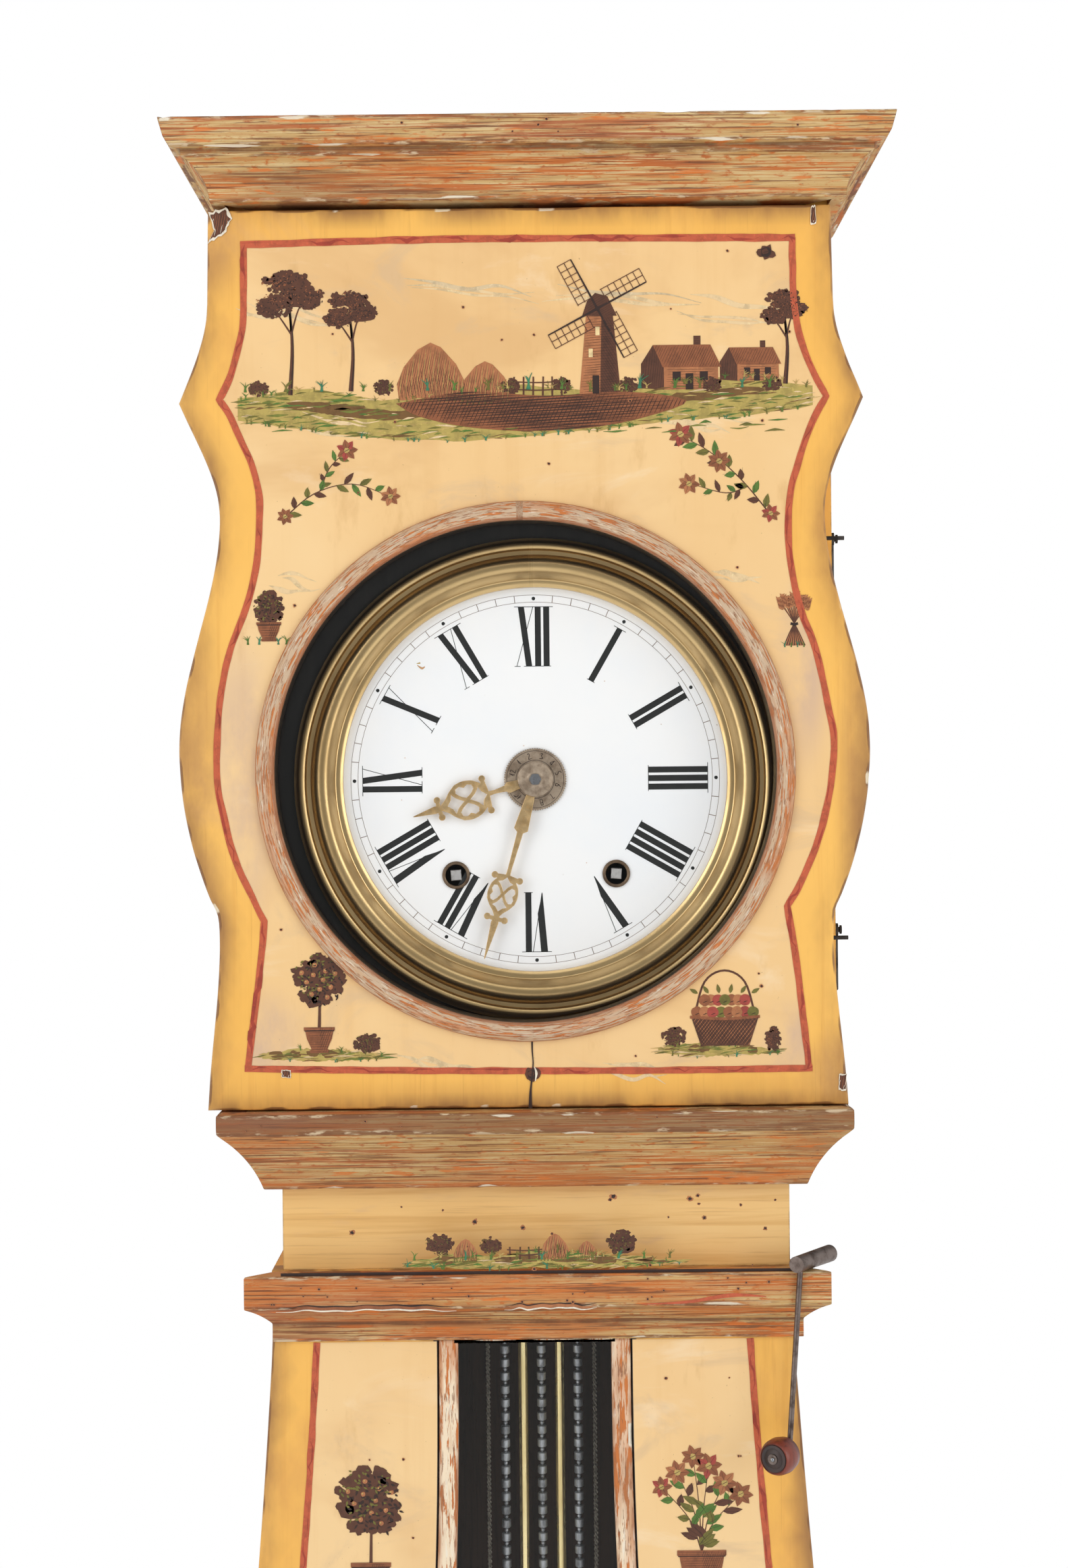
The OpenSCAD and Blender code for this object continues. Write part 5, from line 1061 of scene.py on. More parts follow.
def windmill(d, x, z, tall):
    """A post mill with four lattice sails."""
    wide = 0.34 * tall
    tower = placed(x, z, wide, tall, ((-0.5, 0), (0.5, 0), (0.32, 0.66), (-0.32, 0.66)))
    cap = placed(x, z, wide, tall, ((-0.42, 0.64), (0.42, 0.64), (0.2, 0.8), (-0.1, 0.83),
                                    (-0.3, 0.76)))
    shade = [(x, z), tower[1], tower[2], (x + 0.05 * wide, z + 0.66 * tall)]
    d.fill(tower, "sienna", 2)
    d.fill(shade, "umber", 3)
    d.hatch(tower, 4, 1.7, "ink", 4, 0.25)
    d.hatch(shade, -58, 1.5, "ink", 5, 0.25)
    d.fill(cap, "umber", 4)
    d.hatch(cap, 30, 1.3, "ink", 5)
    for u, v, w, h in ((-0.1, 0.0, 0.16, 0.15), (-0.22, 0.3, 0.1, 0.07), (-0.05, 0.48, 0.1, 0.07)):
        d.fill(block(x, z, wide, tall, u - w / 2, v, u + w / 2, v + h), "cream" if v else "ink", 6)
    hub = Vector((x - 0.05 * wide, z + 0.7 * tall))
    long = 0.46 * tall
    for k in range(4):
        way, side = heading(28 + 90 * k)
        d.stroke([hub, hub + way * long], (1.4, 0.8), "ink", 7)
        for v in (0.07, 0.14):
            bar = side * v * tall * 0.9
            d.stroke([hub + way * 0.2 * long + bar, hub + way * long + bar], 0.5, "umber", 7)
        for n in range(7):
            p = hub + way * long * (0.22 + 0.78 * n / 6)
            d.stroke([p, p + side * 0.127 * tall], 0.45, "umber", 7)
    d.blob(hub.x, hub.y, 1.6, 1.6, "ink", 8)


def haystack(d, x, z, wide, tall):
    """A rounded stack of hay with grass at its foot."""
    shape = placed(x, z, wide, tall, (
        (-0.5, 0), (0.5, 0), (0.54, 0.3), (0.4, 0.62), (0.16, 0.92), (0, 1), (-0.2, 0.88),
        (-0.42, 0.58), (-0.53, 0.28)))
    d.fill(shape, "sienna", 2)
    d.hatch(shape, 78, 1.4, "umber", 3, 0.35)
    d.hatch(shape, 100, 2.1, "ink", 4, 0.22, 0.6)
    d.hatch(shape, 84, 3.4, "straw", 4, 0.4)
    for k in range(9):
        d.tuft(x + wide * (-0.5 + k / 8), z - 1, 3.5, "olive", 4)


def fence(d, left, right, z, tall):
    """Posts and two rails."""
    for k in range(int((right - left) / 6) + 1):
        x = left + 6 * k
        d.stroke([(x, z - 1), (x + d.random.uniform(-0.5, 0.5), z + tall)], (1.2, 1), "umber", 3)
    for v in (0.35, 0.75):
        d.stroke([(left - 2, z + v * tall), ((left + right) / 2, z + v * tall - 0.7),
                  (right + 2, z + v * tall)], 0.8, "umber", 3)


def pot(d, x, z, wide, tall):
    """A turned pot or tub, wider at the top."""
    half = ((0.3, 0), (0.34, 0.08), (0.27, 0.16), (0.42, 0.55), (0.47, 0.84), (0.52, 0.88),
            (0.52, 1))
    shape = placed(x, z, wide, tall,
                   ((-0.3, 0), *half, *((-u, v) for u, v in half[:0:-1])))
    d.fill(shape, "rust", 5)
    d.hatch(shape, 0, 1.5, "ink", 6, 0.24)
    d.hatch([(px if px > x else x + 0.1, pz) for px, pz in shape], 70, 1.2, "ink", 7, 0.26)
    d.stroke(placed(x, z, wide, tall, ((-0.5, 0.86), (0.5, 0.86))), 0.6, "ink", 7)


def tree_in_tub(d, x, z, tall):
    """A round clipped tree with fruit, in a tub."""
    pot(d, x, z, 0.3 * tall, 0.26 * tall)
    d.stroke([(x, z + 0.24 * tall), (x + 0.6, z + 0.6 * tall)], (2, 1.4), "umber", 4)
    d.crown(x, z + 0.74 * tall, 0.25 * tall, 0.27 * tall, dabs=70, layer=4, light="olive")
    for k in range(11):
        fruit = polar(0.2 * tall * math.sqrt((k + 0.5) / 11), 2.4 * k)
        fruit += Vector((x, z + 0.74 * tall))
        d.blob(fruit.x, fruit.y, 1.5, 1.5, "sienna", 7)
        d.blob(fruit.x - 0.4, fruit.y + 0.4, 0.5, 0.5, "straw", 8)


def basket(d, *size):
    """A wicker basket of fruit with an arched handle."""
    x, z, wide, tall = size
    shape = placed(*size, ((-0.36, 0), (0.36, 0), (0.5, 0.42), (-0.5, 0.42)))
    for k in range(15):
        u = -0.42 + 0.84 * (k % 8) / 7 if k < 8 else -0.3 + 0.6 * (k - 8) / 6
        v = 0.5 if k < 8 else 0.68
        tone = ("rust", "sienna", "rose", "olive")[k % 4]
        px, pz = x + u * wide, z + v * tall
        d.blob(px, pz, 0.085 * wide, 0.085 * wide, tone, 3 + k % 3, 0.05)
        d.stroke([(px - 1, pz - 1.5), (px + 1.6, pz - 0.6)], (0.2, 0.5, 0.2), "ink", 6)
    for k in range(6):
        d.leaf(x + wide * (-0.4 + 0.16 * k), z + 0.78 * tall, 90 + 24 * (2.5 - k), 6, 2.6,
               "olive", 3)
    d.fill(shape, "umber", 6)
    d.hatch(shape, 52, 1.7, "sienna", 7, 0.5)
    d.hatch(shape, 128, 1.7, "ink", 8, 0.35)
    d.stroke(placed(*size, ((-0.52, 0.43), (0, 0.4), (0.52, 0.43))), 1.8, "rust", 8)
    d.stroke(placed(*size, ((-0.46, 0.42), (-0.3, 0.95), (0, 1.12), (0.3, 0.95), (0.46, 0.42))),
             1.3, "umber", 2)


def bouquet(d, x, z, wide, tall, blooms):
    """Stems that fan out from one place, with leaves and flowers."""
    for k in range(blooms):
        t = k / (blooms - 1) * 2 - 1
        up = tall * (1 - 0.35 * abs(t)) * d.random.uniform(0.82, 1.0)
        tip = (x + wide * t, z + up)
        d.twig([(x, z), (x + 0.3 * wide * t, z + 0.5 * up), tip], 6, 0.17 * tall)
        d.flower(*tip, 0.12 * tall * d.random.uniform(0.8, 1.15), ("rose", "sienna", "rust")[k % 3])


def sheaf(d, x, z, tall):
    """A tied sheaf of corn."""
    for k in range(17):
        t = k / 8 - 1
        tip = Vector((x + 0.3 * tall * t,
                      z + tall * (1 - 0.12 * t * t) * d.random.uniform(0.9, 1)))
        d.stroke([(x - 0.2 * tall * t, z), (x, z + 0.42 * tall), tip], (0.7, 0.4),
                 "sienna" if k % 2 else "umber", 2)
        for n in range(5):
            p = tip - Vector((t * 0.25, 1)) * n * 0.045 * tall
            for way in (-1, 1):
                d.leaf(p.x, p.y, 90 + way * 34, 0.08 * tall, 0.03 * tall,
                       "rust" if n % 2 else "sienna", 3)
    d.stroke(placed(x, z, tall, tall, ((-0.07, 0.42), (0, 0.4), (0.07, 0.42))), 0.05 * tall,
             "ink", 4)
    for k in range(4):
        d.tuft(x - 6 + 4 * k, z - 1, 4, ("teal", "grass")[k % 2], 4)


def clouds(d, places):
    """Faint broad wisps, brushed thin."""
    for x, z, long in places:
        for k in range(3):
            u, v = d.random.uniform(-10, 10), d.random.uniform(-6, 6)
            rise = [d.random.uniform(-3, 3) for _ in range(5)]
            d.stroke([(x + u + long * (n / 4 - 0.5), z + v + rise[n] - 2 * n) for n in range(5)],
                     (0.3, d.random.uniform(1.5, 4), d.random.uniform(1, 3), 0.3),
                     "cloud" if k == 2 and long > 70 else "wisp", 0)


def worm_holes(d, count, left, right, low, high, clear=0.0):
    """Worm holes between limits, none within a distance of the middle of the dial."""
    for k in range(count):
        x, z = d.random.uniform(left, right), d.random.uniform(low, high)
        size = d.random.uniform(0.35, 0.7)
        if math.hypot(x, z) >= clear:
            d.blob(x, z, size * 1.7, size * 1.6, "sienna", 7, 0.3, 10)
            d.blob(x, z, size, size, "ink", 8, 0.2, 9)


def nail(d, x, z, size):
    """A sunk nail head with rust round it."""
    d.blob(x, z, size * 1.5, size * 1.45, "umber", 7, 0.3)
    d.blob(x, z, size, size, "ink", 8, 0.15)
    d.blob(x - 0.2 * size, z + 0.15 * size, 0.66 * size, 0.6 * size, "umber", 9, 0.2)
    d.stroke([(x - 0.5 * size, z - 0.1 * size), (x + 0.5 * size, z + 0.2 * size)], 0.3, "ink", 10)


def chip(d, *shape):
    """A place where paint has come off: a white rim round bare brown wood with specks."""
    middle = sum((Vector(p) for p in shape), Vector((0, 0))) / len(shape)
    ragged = []
    for a, b in zip(shape, shape[1:] + shape[:1]):
        for k in range(5):
            p = Vector(a).lerp(Vector(b), k / 5)
            ragged.append(p + (p - middle) * d.random.uniform(-0.14, 0.06))
    d.fill(ragged, "chalk", 7)
    inner = [middle + (p - middle) * d.random.uniform(0.76, 0.9) for p in ragged]
    d.fill(inner, "umber", 8)
    d.hatch(inner, 80, 1.6, "rust", 9, 0.5)
    d.hatch(inner, 76, 2.9, "chalk", 10, 0.35, 0.4)


# Head door

STRIPE_LEFT = [(-178.3, 336.9), (-178.6, 312), (-179.3, 287.1), (-183.1, 268.5), (-188.1, 252.5),
               (-194.6, 239.5), (-188.3, 230.1), (-181.3, 214), (-175.1, 200.4), (-171.1, 185.1),
               (-170, 169.1), (-172, 138.2), (-179, 109.6), (-189.5, 82.2), (-196.3, 48.9),
               (-198.5, 5.8), (-194.8, -20), (-187.6, -48.4), (-177.1, -72.1), (-169.7, -87.2),
               (-173.3, -121.6), (-178, -156.2), (-181, -179.5)]
STRIPE_RIGHT = [(165.2, 337.5), (165.3, 318), (165.7, 299.6), (169.4, 275), (176.6, 255.3),
                (185.3, 238), (176.2, 221), (167.5, 196.5), (162.5, 177), (160.7, 152.5),
                (163, 127.8), (168.7, 103), (177.3, 79.2), (184.5, 44.9), (188.1, 22.5),
                (185.7, -5.8), (178.2, -37.8), (166.5, -66), (157.8, -81.1), (162.2, -109.5),
                (166.5, -146), (170.3, -182.7)]
CORNERS = ((-194.6, 239.5), (-169.7, -87.2), (185.3, 238), (157.8, -81.1))


def split_curve(points):
    """A line through the points, curved between the corners."""
    made, part = [], []
    for p in points:
        part.append(p)
        if p in CORNERS:
            made += curve_points(part)[:-1]
            part = [p]
    return made + curve_points(part)


def edging(d, points, width=4.2):
    """A hand-drawn stripe of uneven width with darker overlaps."""
    path = [Vector(p) for p in points]
    fine = []
    for a, b in zip(path, path[1:]):
        parts = max(1, round((b - a).length / 4))
        fine += [a.lerp(b, k / parts) for k in range(parts)]
    fine.append(path[-1])
    for tone, layer in (("stripe", 4), ("stripe_dark", 5)):
        sides = []
        for i, p in enumerate(fine):
            side = left_of(fine, i)
            wave = noise.noise(Vector((p.x * 0.06, p.y * 0.06, layer)))
            other = noise.noise(Vector((p.x * 0.09, p.y * 0.09, layer + 4)))
            half, move = width / 2 * (1 + 0.16 * wave), side * 0.3 * other
            if tone == "stripe_dark":
                half = max(0.02, wave * 1.3) * width * 0.4
                move = side * width * 0.22 * (1 if other > 0 else -1)
            sides += [p + side * half + move, p - side * half + move]
        d.ribbon(sides, tone, layer)


stripes = split_curve(STRIPE_LEFT), split_curve(STRIPE_RIGHT)
plate("head_door_board", front_loops("head_door")[:2], front_y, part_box("head_door")[1].y,
      LOOKS["ochre"], "head_door", "cream_paint", ("head_door",), edge=1.0 * MM, grid=9 * MM,
      wear=0.6, chips=0.5)
field = [Vector((p[0] * MM, DIAL_Z + p[1] * MM)) for p in stripes[0] + stripes[1][::-1]]
field = [field if area(field) > 0 else field[::-1],
         circle(opening_r + 2 * MM, 120, ring_x, ring_z)[::-1]]
piece("head_cream_field", [(p.x, front_y - 2 * PAINT, p.y) for loop in field for p in loop],
      triangles(field), LOOKS["cream"], "head_door", "cream_paint", closed=False)

art = Decor("head_door_painting", front_y - 2 * PAINT, "head_door", "cream_paint", 7)
for stripe in stripes:
    edging(art, stripe)
edging(art, curve_points([(-180.5, 336.5), (-60, 338.6), (60, 338.2), (167, 337.4)]), 4.5)
edging(art, curve_points([(-183, -179.3), (-90, -181.4), (60, -183), (172.5, -182.6)]))
clouds(art, ((-150, 300, 60), (-40, 312, 80), (60, 302, 90), (130, 296, 60), (-120, 228, 40),
             (120, 130, 30), (110, 226, 40), (-150, 128, 24), (-60, -170, 40), (60, -176, 40)))

# The landscape over the dial: a field, grass, trees, stacks, a mill and cottages
art.ground(-183, 177, (240, 246, 238, 242, 247, 243, 246, 252, 244),
           (226, 220, 214, 212, 215, 218, 224, 226, 232), 420)
tilled = [(-84, 236), (-70, 228), (-40, 221), (0, 218), (40, 220), (72, 226), (98, 236),
          (60, 242), (10, 240), (-40, 243)]
tilled = curve_points(tilled + tilled[:1], 4)[:-1]
art.fill(tilled, "rust", 4)
for angle, gap, tone, layer, width in ((2, 1.5, "umber", 5, 1.0), (64, 2.2, "ink", 6, 0.5),
                                       (4, 1.9, "ink", 7, 0.7)):
    art.hatch(tilled, angle, gap, tone, layer, width)
for k in range(70):
    x, z = art.random.uniform(-172, 166), art.random.uniform(216, 240)
    long = art.random.uniform(6, 16)
    if abs(x - 5) > 92 or z < 221:
        art.stroke([(x, z), (x + long / 2, z + art.random.uniform(-0.6, 1.6)),
                    (x + long, z + 0.6)], (0.2, art.random.uniform(0.8, 1.9), 0.2),
                   ("moss", "grass", "olive")[k % 3], 4)
for motif, *size in ((pine, -150, 242, 76, 22), (pine, -112, 244, 62, 17),
                     (haystack, -62, 238, 40, 36), (haystack, -28, 236, 30, 26),
                     (fence, -10, 20, 240, 12), (windmill, 44, 241, 76),
                     (cottage, 84, 243, 34, 28), (cottage, 130, 248, 26, 21),
                     (pine, 160, 246, 58, 15)):
    motif(art, *size)
for x in (-170, -92, -12, 20, 62, 114, 152):
    art.crown(x, 246, 6.5, 5, dabs=24, layer=3, light="olive")
for x in range(-176, 176, 22):
    art.tuft(x + art.random.uniform(-6, 6), 244, art.random.uniform(6, 10),
             ("teal", "grass", "olive")[x % 3], 6, 6, 30)

# Sprays of flowers beside the opening, then a shrub, a sheaf, a tree and a basket
for paint, *values in (
        (art.twig, [(-156, 164), (-136, 180), (-112, 186), (-88, 178)], 12, 9),
        (art.twig, [(-132, 182), (-126, 196), (-116, 206)], 7, 7),
        (art.flower, -115, 207, 7), (art.flower, -88, 178, 6.5, "sienna"),
        (art.flower, -154, 166, 5.5, "rust"),
        (art.twig, [(150, 164), (132, 186), (112, 204), (94, 214)], 14, 10),
        (art.twig, [(136, 182), (122, 178), (100, 184)], 7, 8),
        (art.flower, 94, 215, 8), (art.flower, 99, 184, 7, "sienna"),
        (art.flower, 118, 198, 7.5, "rust"), (art.flower, 150, 165, 6, "rose")):
    paint(*values)
pot(art, -165, 88, 15, 12)
art.crown(-165, 109, 9, 11, "olive", 3)
for u in (-13, -6, 6, 11):
    art.tuft(-165 + u, 86, 6, ("teal", "grass")[u % 2], 5)
sheaf(art, 164, 82, 33)
tree_in_tub(art, -136, -170, 62)
art.ground(-172, -92, (-170, -167, -169, -172), (-173, -175, -175, -174), 60)
art.crown(-106, -164, 9, 6, "olive", 3, 34)
basket(art, 118, -168, 42, 42)
art.ground(76, 152, (-169, -166, -168, -171), (-172, -175, -174, -173), 60)
art.crown(86, -162, 8, 6, "olive", 3, 30)
art.crown(148, -164, 5, 8, "rust", 3, 30)

# Nails, lost paint, and the crack below the opening
nail(art, 148.6, 328.4, 3.2)
nail(art, -3, -184.7, 3.1)
chip(art, (-201, 337), (-197, 345), (-200, 357), (-189, 360), (-185, 353), (-190, 343))
chip(art, (176.5, 345), (180.5, 345.5), (180, 358), (177, 357))
chip(art, (188.5, -197), (193.5, -197), (194, -186), (189, -186))
chip(art, (-160, -185), (-154, -185.5), (-154, -180.5), (-160, -180))
for side in (-1, 1):
    chip(art, (-3 + side * 4, -155), (-3 + side, -161), (-3, -156), (-3 + side, -152.5))
art.stroke([(-2.6, -153), (-2.9, -168), (-2.4, -178), (-3.6, -190), (-4.2, -197), (-4.4, -206)],
           (1.4, 0.7, 1.1, 2.2), "ink", 9)
art.stroke([(-1.6, -180), (-0.4, -184), (-1.2, -189)], (0.4, 1.6, 0.4), "chalk", 8)
art.stroke([(-3.6, -157), (-3.9, -164)], (1.8, 0.4), "chalk", 8)
worm_holes(art, 44, -195, 185, -195, 335, clear=180)
art.make()

# Ring round the opening, its section in shares of its width and height
ring_h = front_y - ring_low.y
RING = ((0, 0), (1, 0), (1, 0.3), (0.93, 0.5), (0.85, 0.62), (0.74, 0.8), (0.6, 0.92),
        (0.5, 0.98), (0.38, 1), (0.26, 0.97), (0.16, 0.9), (0.05, 0.76), (0, 0.6))
outline = round_corners([Vector((u * RING_W, v * ring_h)) for u, v in RING], 0.6 * MM)
lathe("opening_ring_turned", [(opening_r + p.x, front_y - p.y, 1.0 if mark > 0 else 0.0)
                              for p, mark in outline],
      (ring_x, 0, ring_z), LOOKS["ring"], "head_door", "strip_paint", ("opening_ring",),
      turns=240, closed=True)

# Turned brass round the dial: radius and depth behind the door's front, in mm
SURROUND = [(123, 37.0), (123, 31.5), (124.8, 30.6), (127.6, 30.2), (129, 28), (131, 25),
            (133, 22.8), (136, 22), (139, 22.8), (141.5, 25.5), (143.5, 29.4), (146, 29.4),
            (147, 27.6), (149, 26.8), (151, 27.6), (152, 29.2), (154, 30), (154, 33), (142, 33),
            (142, 37)]
fine = smooth_loop([Vector((r * MM, front_y + depth * MM)) for r, depth in SURROUND],
                   0.8 * MM, 40)
lathe("dial_surround_turned", [tuple(p) for p in fine], (dial_x, 0, DIAL_Z), LOOKS["bezel"],
      "case", "aged_brass", ("dial_surround",), turns=288, closed=True, smooth=60)


# Dial

NUMERAL_FOOT, TALL, HAIRLINE = 72.4, 38.5, 0.4
TRACK_IN, TRACK_OUT = 113.7, 118.3  # radii of the minute track, in mm
# Of each letter: the width it takes, its heavy stroke, and its hairlines, across and up
LETTERS = {
    "I": (5.45, ((0, 0), (3.85, 0), (3.85, TALL), (0, TALL)), (((-0.9, 0.2), (4.7, 0.2)),)),
    "V": (10.4, ((0, TALL), (4.4, TALL), (6.4, 13.8), (3.3, 0)), (((3.6, 0.5), (9.5, TALL)),)),
    "X": (10.8, ((0, TALL), (3.9, TALL), (8.9, 0), (5, 0)),
          (((-1, 0), (9.7, TALL)), ((-2.4, 0.2), (1.4, 0.2)), ((3.6, 0.2), (10.4, 0.2)))),
}


def spoke(angle):
    """The directions outward and across at an angle in degrees after twelve."""
    a = math.radians(angle)
    return Vector((math.sin(a), math.cos(a))), Vector((math.cos(a), -math.sin(a)))


def radial(d, hour, points, tone="numeral"):
    """Fills a shape given as (across, out from the centre) for one hour's place."""
    out, across = spoke(30 * hour)
    shape = [across * u + out * v for u, v in points]
    d.fill(shape if area(shape) > 0 else shape[::-1], tone)


def numeral(d, hour, letters):
    """Letters side by side on the foot circle, under one long hairline."""
    wide = sum(LETTERS[c][0] for c in letters) - 1.6
    x = -wide / 2

    def line(*ends):
        a, b = (Vector((u, NUMERAL_FOOT + v)) for u, v in ends)
        way = (b - a).normalized()
        side = Vector((-way.y, way.x)) * HAIRLINE / 2
        radial(d, hour, [a + side, b + side, b - side, a - side])

    for c in letters:
        step, heavy, hairlines = LETTERS[c]
        radial(d, hour, [(x + u, NUMERAL_FOOT + v) for u, v in heavy])
        for (u, v), (s, t) in hairlines:
            line((x + u, v), (x + s, t))
        x += step
    line((-wide / 2 - 2.4, TALL - 0.2), (wide / 2 + 2.4, TALL - 0.2))


dial_art = Decor("dial_numerals", dial_y, "case", "enamel", 3, (dial_x, DIAL_Z))
for hour, letters in enumerate("XII I II III IIII V VI VII VIII IX X XI".split()):
    numeral(dial_art, hour, letters)
for radius in (TRACK_IN, TRACK_OUT):
    dial_art.fill(circle(radius + 0.13), "track", 0, [circle(radius - 0.13)[::-1]])
for minute in range(60):
    if minute % 5:
        radial(dial_art, minute / 5, [(-0.2, TRACK_IN), (0.2, TRACK_IN), (0.2, TRACK_OUT),
                                      (-0.2, TRACK_OUT)], "track")
for hour in range(12):
    place = 116 * spoke(30 * hour)[0]
    dial_art.blob(place.x, place.y, 1.15, 1.15, "numeral", 0, 0.04, 16)
dial_art.stroke([(-75, 74), (-72, 72), (-70, 73)], (0.4, 1.5, 0.5), "mark", 0)
dial_art.stroke([(-75.4, 75), (-73, 75.4)], (0.3, 1.2), "straw", 0)
for k in range(6):
    a, r = dial_art.random.uniform(0, 6.28), dial_art.random.uniform(20, 110)
    dial_art.blob(r * math.cos(a), r * math.sin(a), 0.3, 0.3, "mark", 0, 0.3, 7)
dial_art.make()

# A brass ring in each winding hole: radius and height over the enamel, in mm
EYELET = ((6.7, 1.2), (6.7, -0.9), (7.2, -1.5), (8.2, -1.6), (8.8, -1.1), (8.9, 0))
for side, label in ((-1, "left"), (1, "right")):
    lathe(f"winding_eyelet_{label}", [(r * MM, y * MM) for r, y in EYELET],
          (dial_x + side * WIND_X, dial_y, DIAL_Z - WIND_DROP), LOOKS["eyelet"], "case",
          "bright_brass", ("winding_eyelets",), turns=64, smooth=60)

# The alarm disc: teeth on its rim, and plain numbers between engraved circles
TEETH, TOOTH = 80, 0.8 * MM
DIGITS = {"0": "02 04 35 15 04", "1": "11 25 20", "2": "04 15 24 00 30", "3": "05 25 13 31 00",
          "4": "20 25 01 31", "5": "25 05 03 22 20 00", "6": "25 02 00 20 22 03",
          "7": "05 25 10", "8": "03 05 25 23 03 00 20 23", "9": "22 02 05 25 20"}
disc_low, disc_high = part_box("alarm_disc")
disc_r = (disc_high.x - disc_low.x) / 2
rim = [Vector((dial_x, DIAL_Z)) + polar(disc_r - (k % 2) * TOOTH, math.pi * k / TEETH)
       for k in range(2 * TEETH)]
plate("alarm_disc_toothed", [rim], disc_low.y, disc_high.y, LOOKS["bronze"], "alarm_disc",
      "aged_brass", ("alarm_disc",), edge=0.1 * MM, wear=0.0)
disc_art = Decor("alarm_disc_engraving", disc_low.y - 0.02 * MM, "alarm_disc", "aged_brass", 9,
                 (dial_x, DIAL_Z))
for radius in (12.3, 18.3):
    disc_art.fill(circle(radius + 0.14, 72), "ink", 0, [circle(radius - 0.14, 72)[::-1]])
for number in range(1, 13):
    out, across = spoke(30 * number - 75)
    for place, digit in enumerate(str(number)):
        shift = (place - (len(str(number)) - 1) / 2) * 2.6 - 0.7
        path = [across * (shift + 0.7 * int(c[0])) + out * (13.4 + 0.74 * int(c[1]))
                for c in DIGITS[digit].split()]
        for p, q in zip(path, path[1:]):
            disc_art.stroke([p, q], 0.42, "ink", 0)
disc_art.make()

# The turned hub over the roots of both hands, and the worn ends of the winding squares
HUB = ((0.01, 0.4), (2.2, 0.4), (3.2, 0.9), (4.6, 0.9), (5.2, 0.5), (9.8, 0.5), (10.4, 0.8),
       (11, 0.7), (11.3, 0.2), (11.3, -0.3))
hand_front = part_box("minute_hand")[0].y
lathe("hand_hub_disc", [(r * MM, hand_front - out * MM) for r, out in HUB], (dial_x, 0, DIAL_Z),
      LOOKS["bronze"], "minute_train", "aged_brass", turns=64, smooth=50)
SQUARE = 6.4 * MM
half = SQUARE / 2 + 0.15 * MM
for side, label, body in ((-1, "left", "strike_barrel"), (1, "right", "going_barrel")):
    turn = Matrix.Rotation(math.radians(4 * side), 3, "Y")
    middle = Vector((dial_x + side * WIND_X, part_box(body)[0].y - 0.2 * MM, DIAL_Z - WIND_DROP))
    verts = [middle + turn @ Vector((u * half * k, depth, v * half * k))
             for k, depth in ((0.88, 0), (1, 0.4 * MM), (1, 5 * MM))
             for u, v in ((-1, -1), (1, -1), (1, 1), (-1, 1))]
    piece(f"winding_square_{label}", verts, [(3, 2, 1, 0)] + band(0, 4, 4) + band(4, 8, 4),
          LOOKS["square"], body, "steel")

for node, body in (("hour_hand", "hour_train"), ("minute_hand", "minute_train")):
    low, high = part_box(node)
    plate(node + "_pierced", front_loops(node), low.y, high.y, LOOKS["gilt"], body,
          "bright_brass", (node,), edge=0.22 * MM, step=0.6 * MM, wear=0.1)

# Mouldings

moulding("top_cornice", 0.19, seed=1)
moulding("waist_moulding", 0.161, "moulding_dark", seed=2)
moulding("trunk_cornice", seed=3, sides=(0,))
moulding("plinth_skirting", 0.198, step=8 * MM, seed=4)

# Worm holes, and splits along the lower edge of the trunk cornice's fascia
for node, count, drop, tall in (("top_cornice", 6, 4, 9), ("waist_moulding", 5, 3, 9),
                                ("trunk_cornice", 26, 3, 16)):
    low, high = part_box(node)
    d = Decor(node + "_marks", low.y - PAINT, "case", "moulding_paint", 40 + count)
    top = (high.z - DIAL_Z) / MM - drop
    reach = 0.94 * high.x / MM
    worm_holes(d, count, -reach, reach, top - tall, top)
    if node == "trunk_cornice":
        edge = top - 17.2
        for left, right, tone in ((-165, -52, "rust"), (-22, 36, "sienna")):
            wave = [(left + (right - left) * k / 12, edge + d.random.uniform(-0.9, 0.9))
                    for k in range(13)]
            for lift, widths, paint, layer in (
                    (0, (0.3, 2.6, 3.4, 2.2, 0.3), tone, 1),
                    (1.5, (0.1, 0.9, 0.4, 1.1, 0.1), "ink", 2),
                    (-1.3, (0.2, 1.0, 0.7, 1.1, 0.2), "chalk", 3)):
                d.stroke([(x, z + lift) for x, z in wave], widths, paint, layer)
        d.stroke([(64, edge + 1), (92, edge + 2), (120, edge + 6), (142, edge + 5)],
                 (0.4, 1.8, 2.6, 0.6), "stripe", 1)
    d.make()

# The neck and the trunk

neck_art = Decor("neck_painting_and_shadow", neck_y, "case", "cream_paint", 21)
neck_art.ground(-84, 90, (-303, -297, -299, -295, -298, -300, -303),
                (-304, -306, -307, -306, -307, -306, -304), 150)
for x, size in ((-62, 9), (-30, 7), (52, 10)):
    neck_art.crown(x, -294 + 0.3 * size, size, 0.75 * size, "olive", dabs=34)
for x, wide in ((-46, 14), (10, 17), (30, 12)):
    haystack(neck_art, x, -301, wide, 0.95 * wide)
fence(neck_art, -18, 0, -300, 7)
for x in range(-78, 84, 16):
    neck_art.tuft(x, -301, 6, ("grass", "olive", "teal")[x % 3], 6, 5)
for x, z, size in ((-117, -283, 1.1), (-40, -277, 1.2), (-10, -281, 1.0), (47, -262, 1.3),
                   (45, -264, 0.8), (95, -264, 1.1), (104, -276, 0.9), (142, -283, 0.8),
                   (100, -262, 0.8), (-3, -307, 0.8)):
    neck_art.blob(x, z, 1.7 * size, 1.5 * size, "sienna", 6, 0.3)
    neck_art.blob(x, z, size, 0.9 * size, "ink", 7, 0.2)
ledge = (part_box("trunk_cornice")[1].z - DIAL_Z) / MM
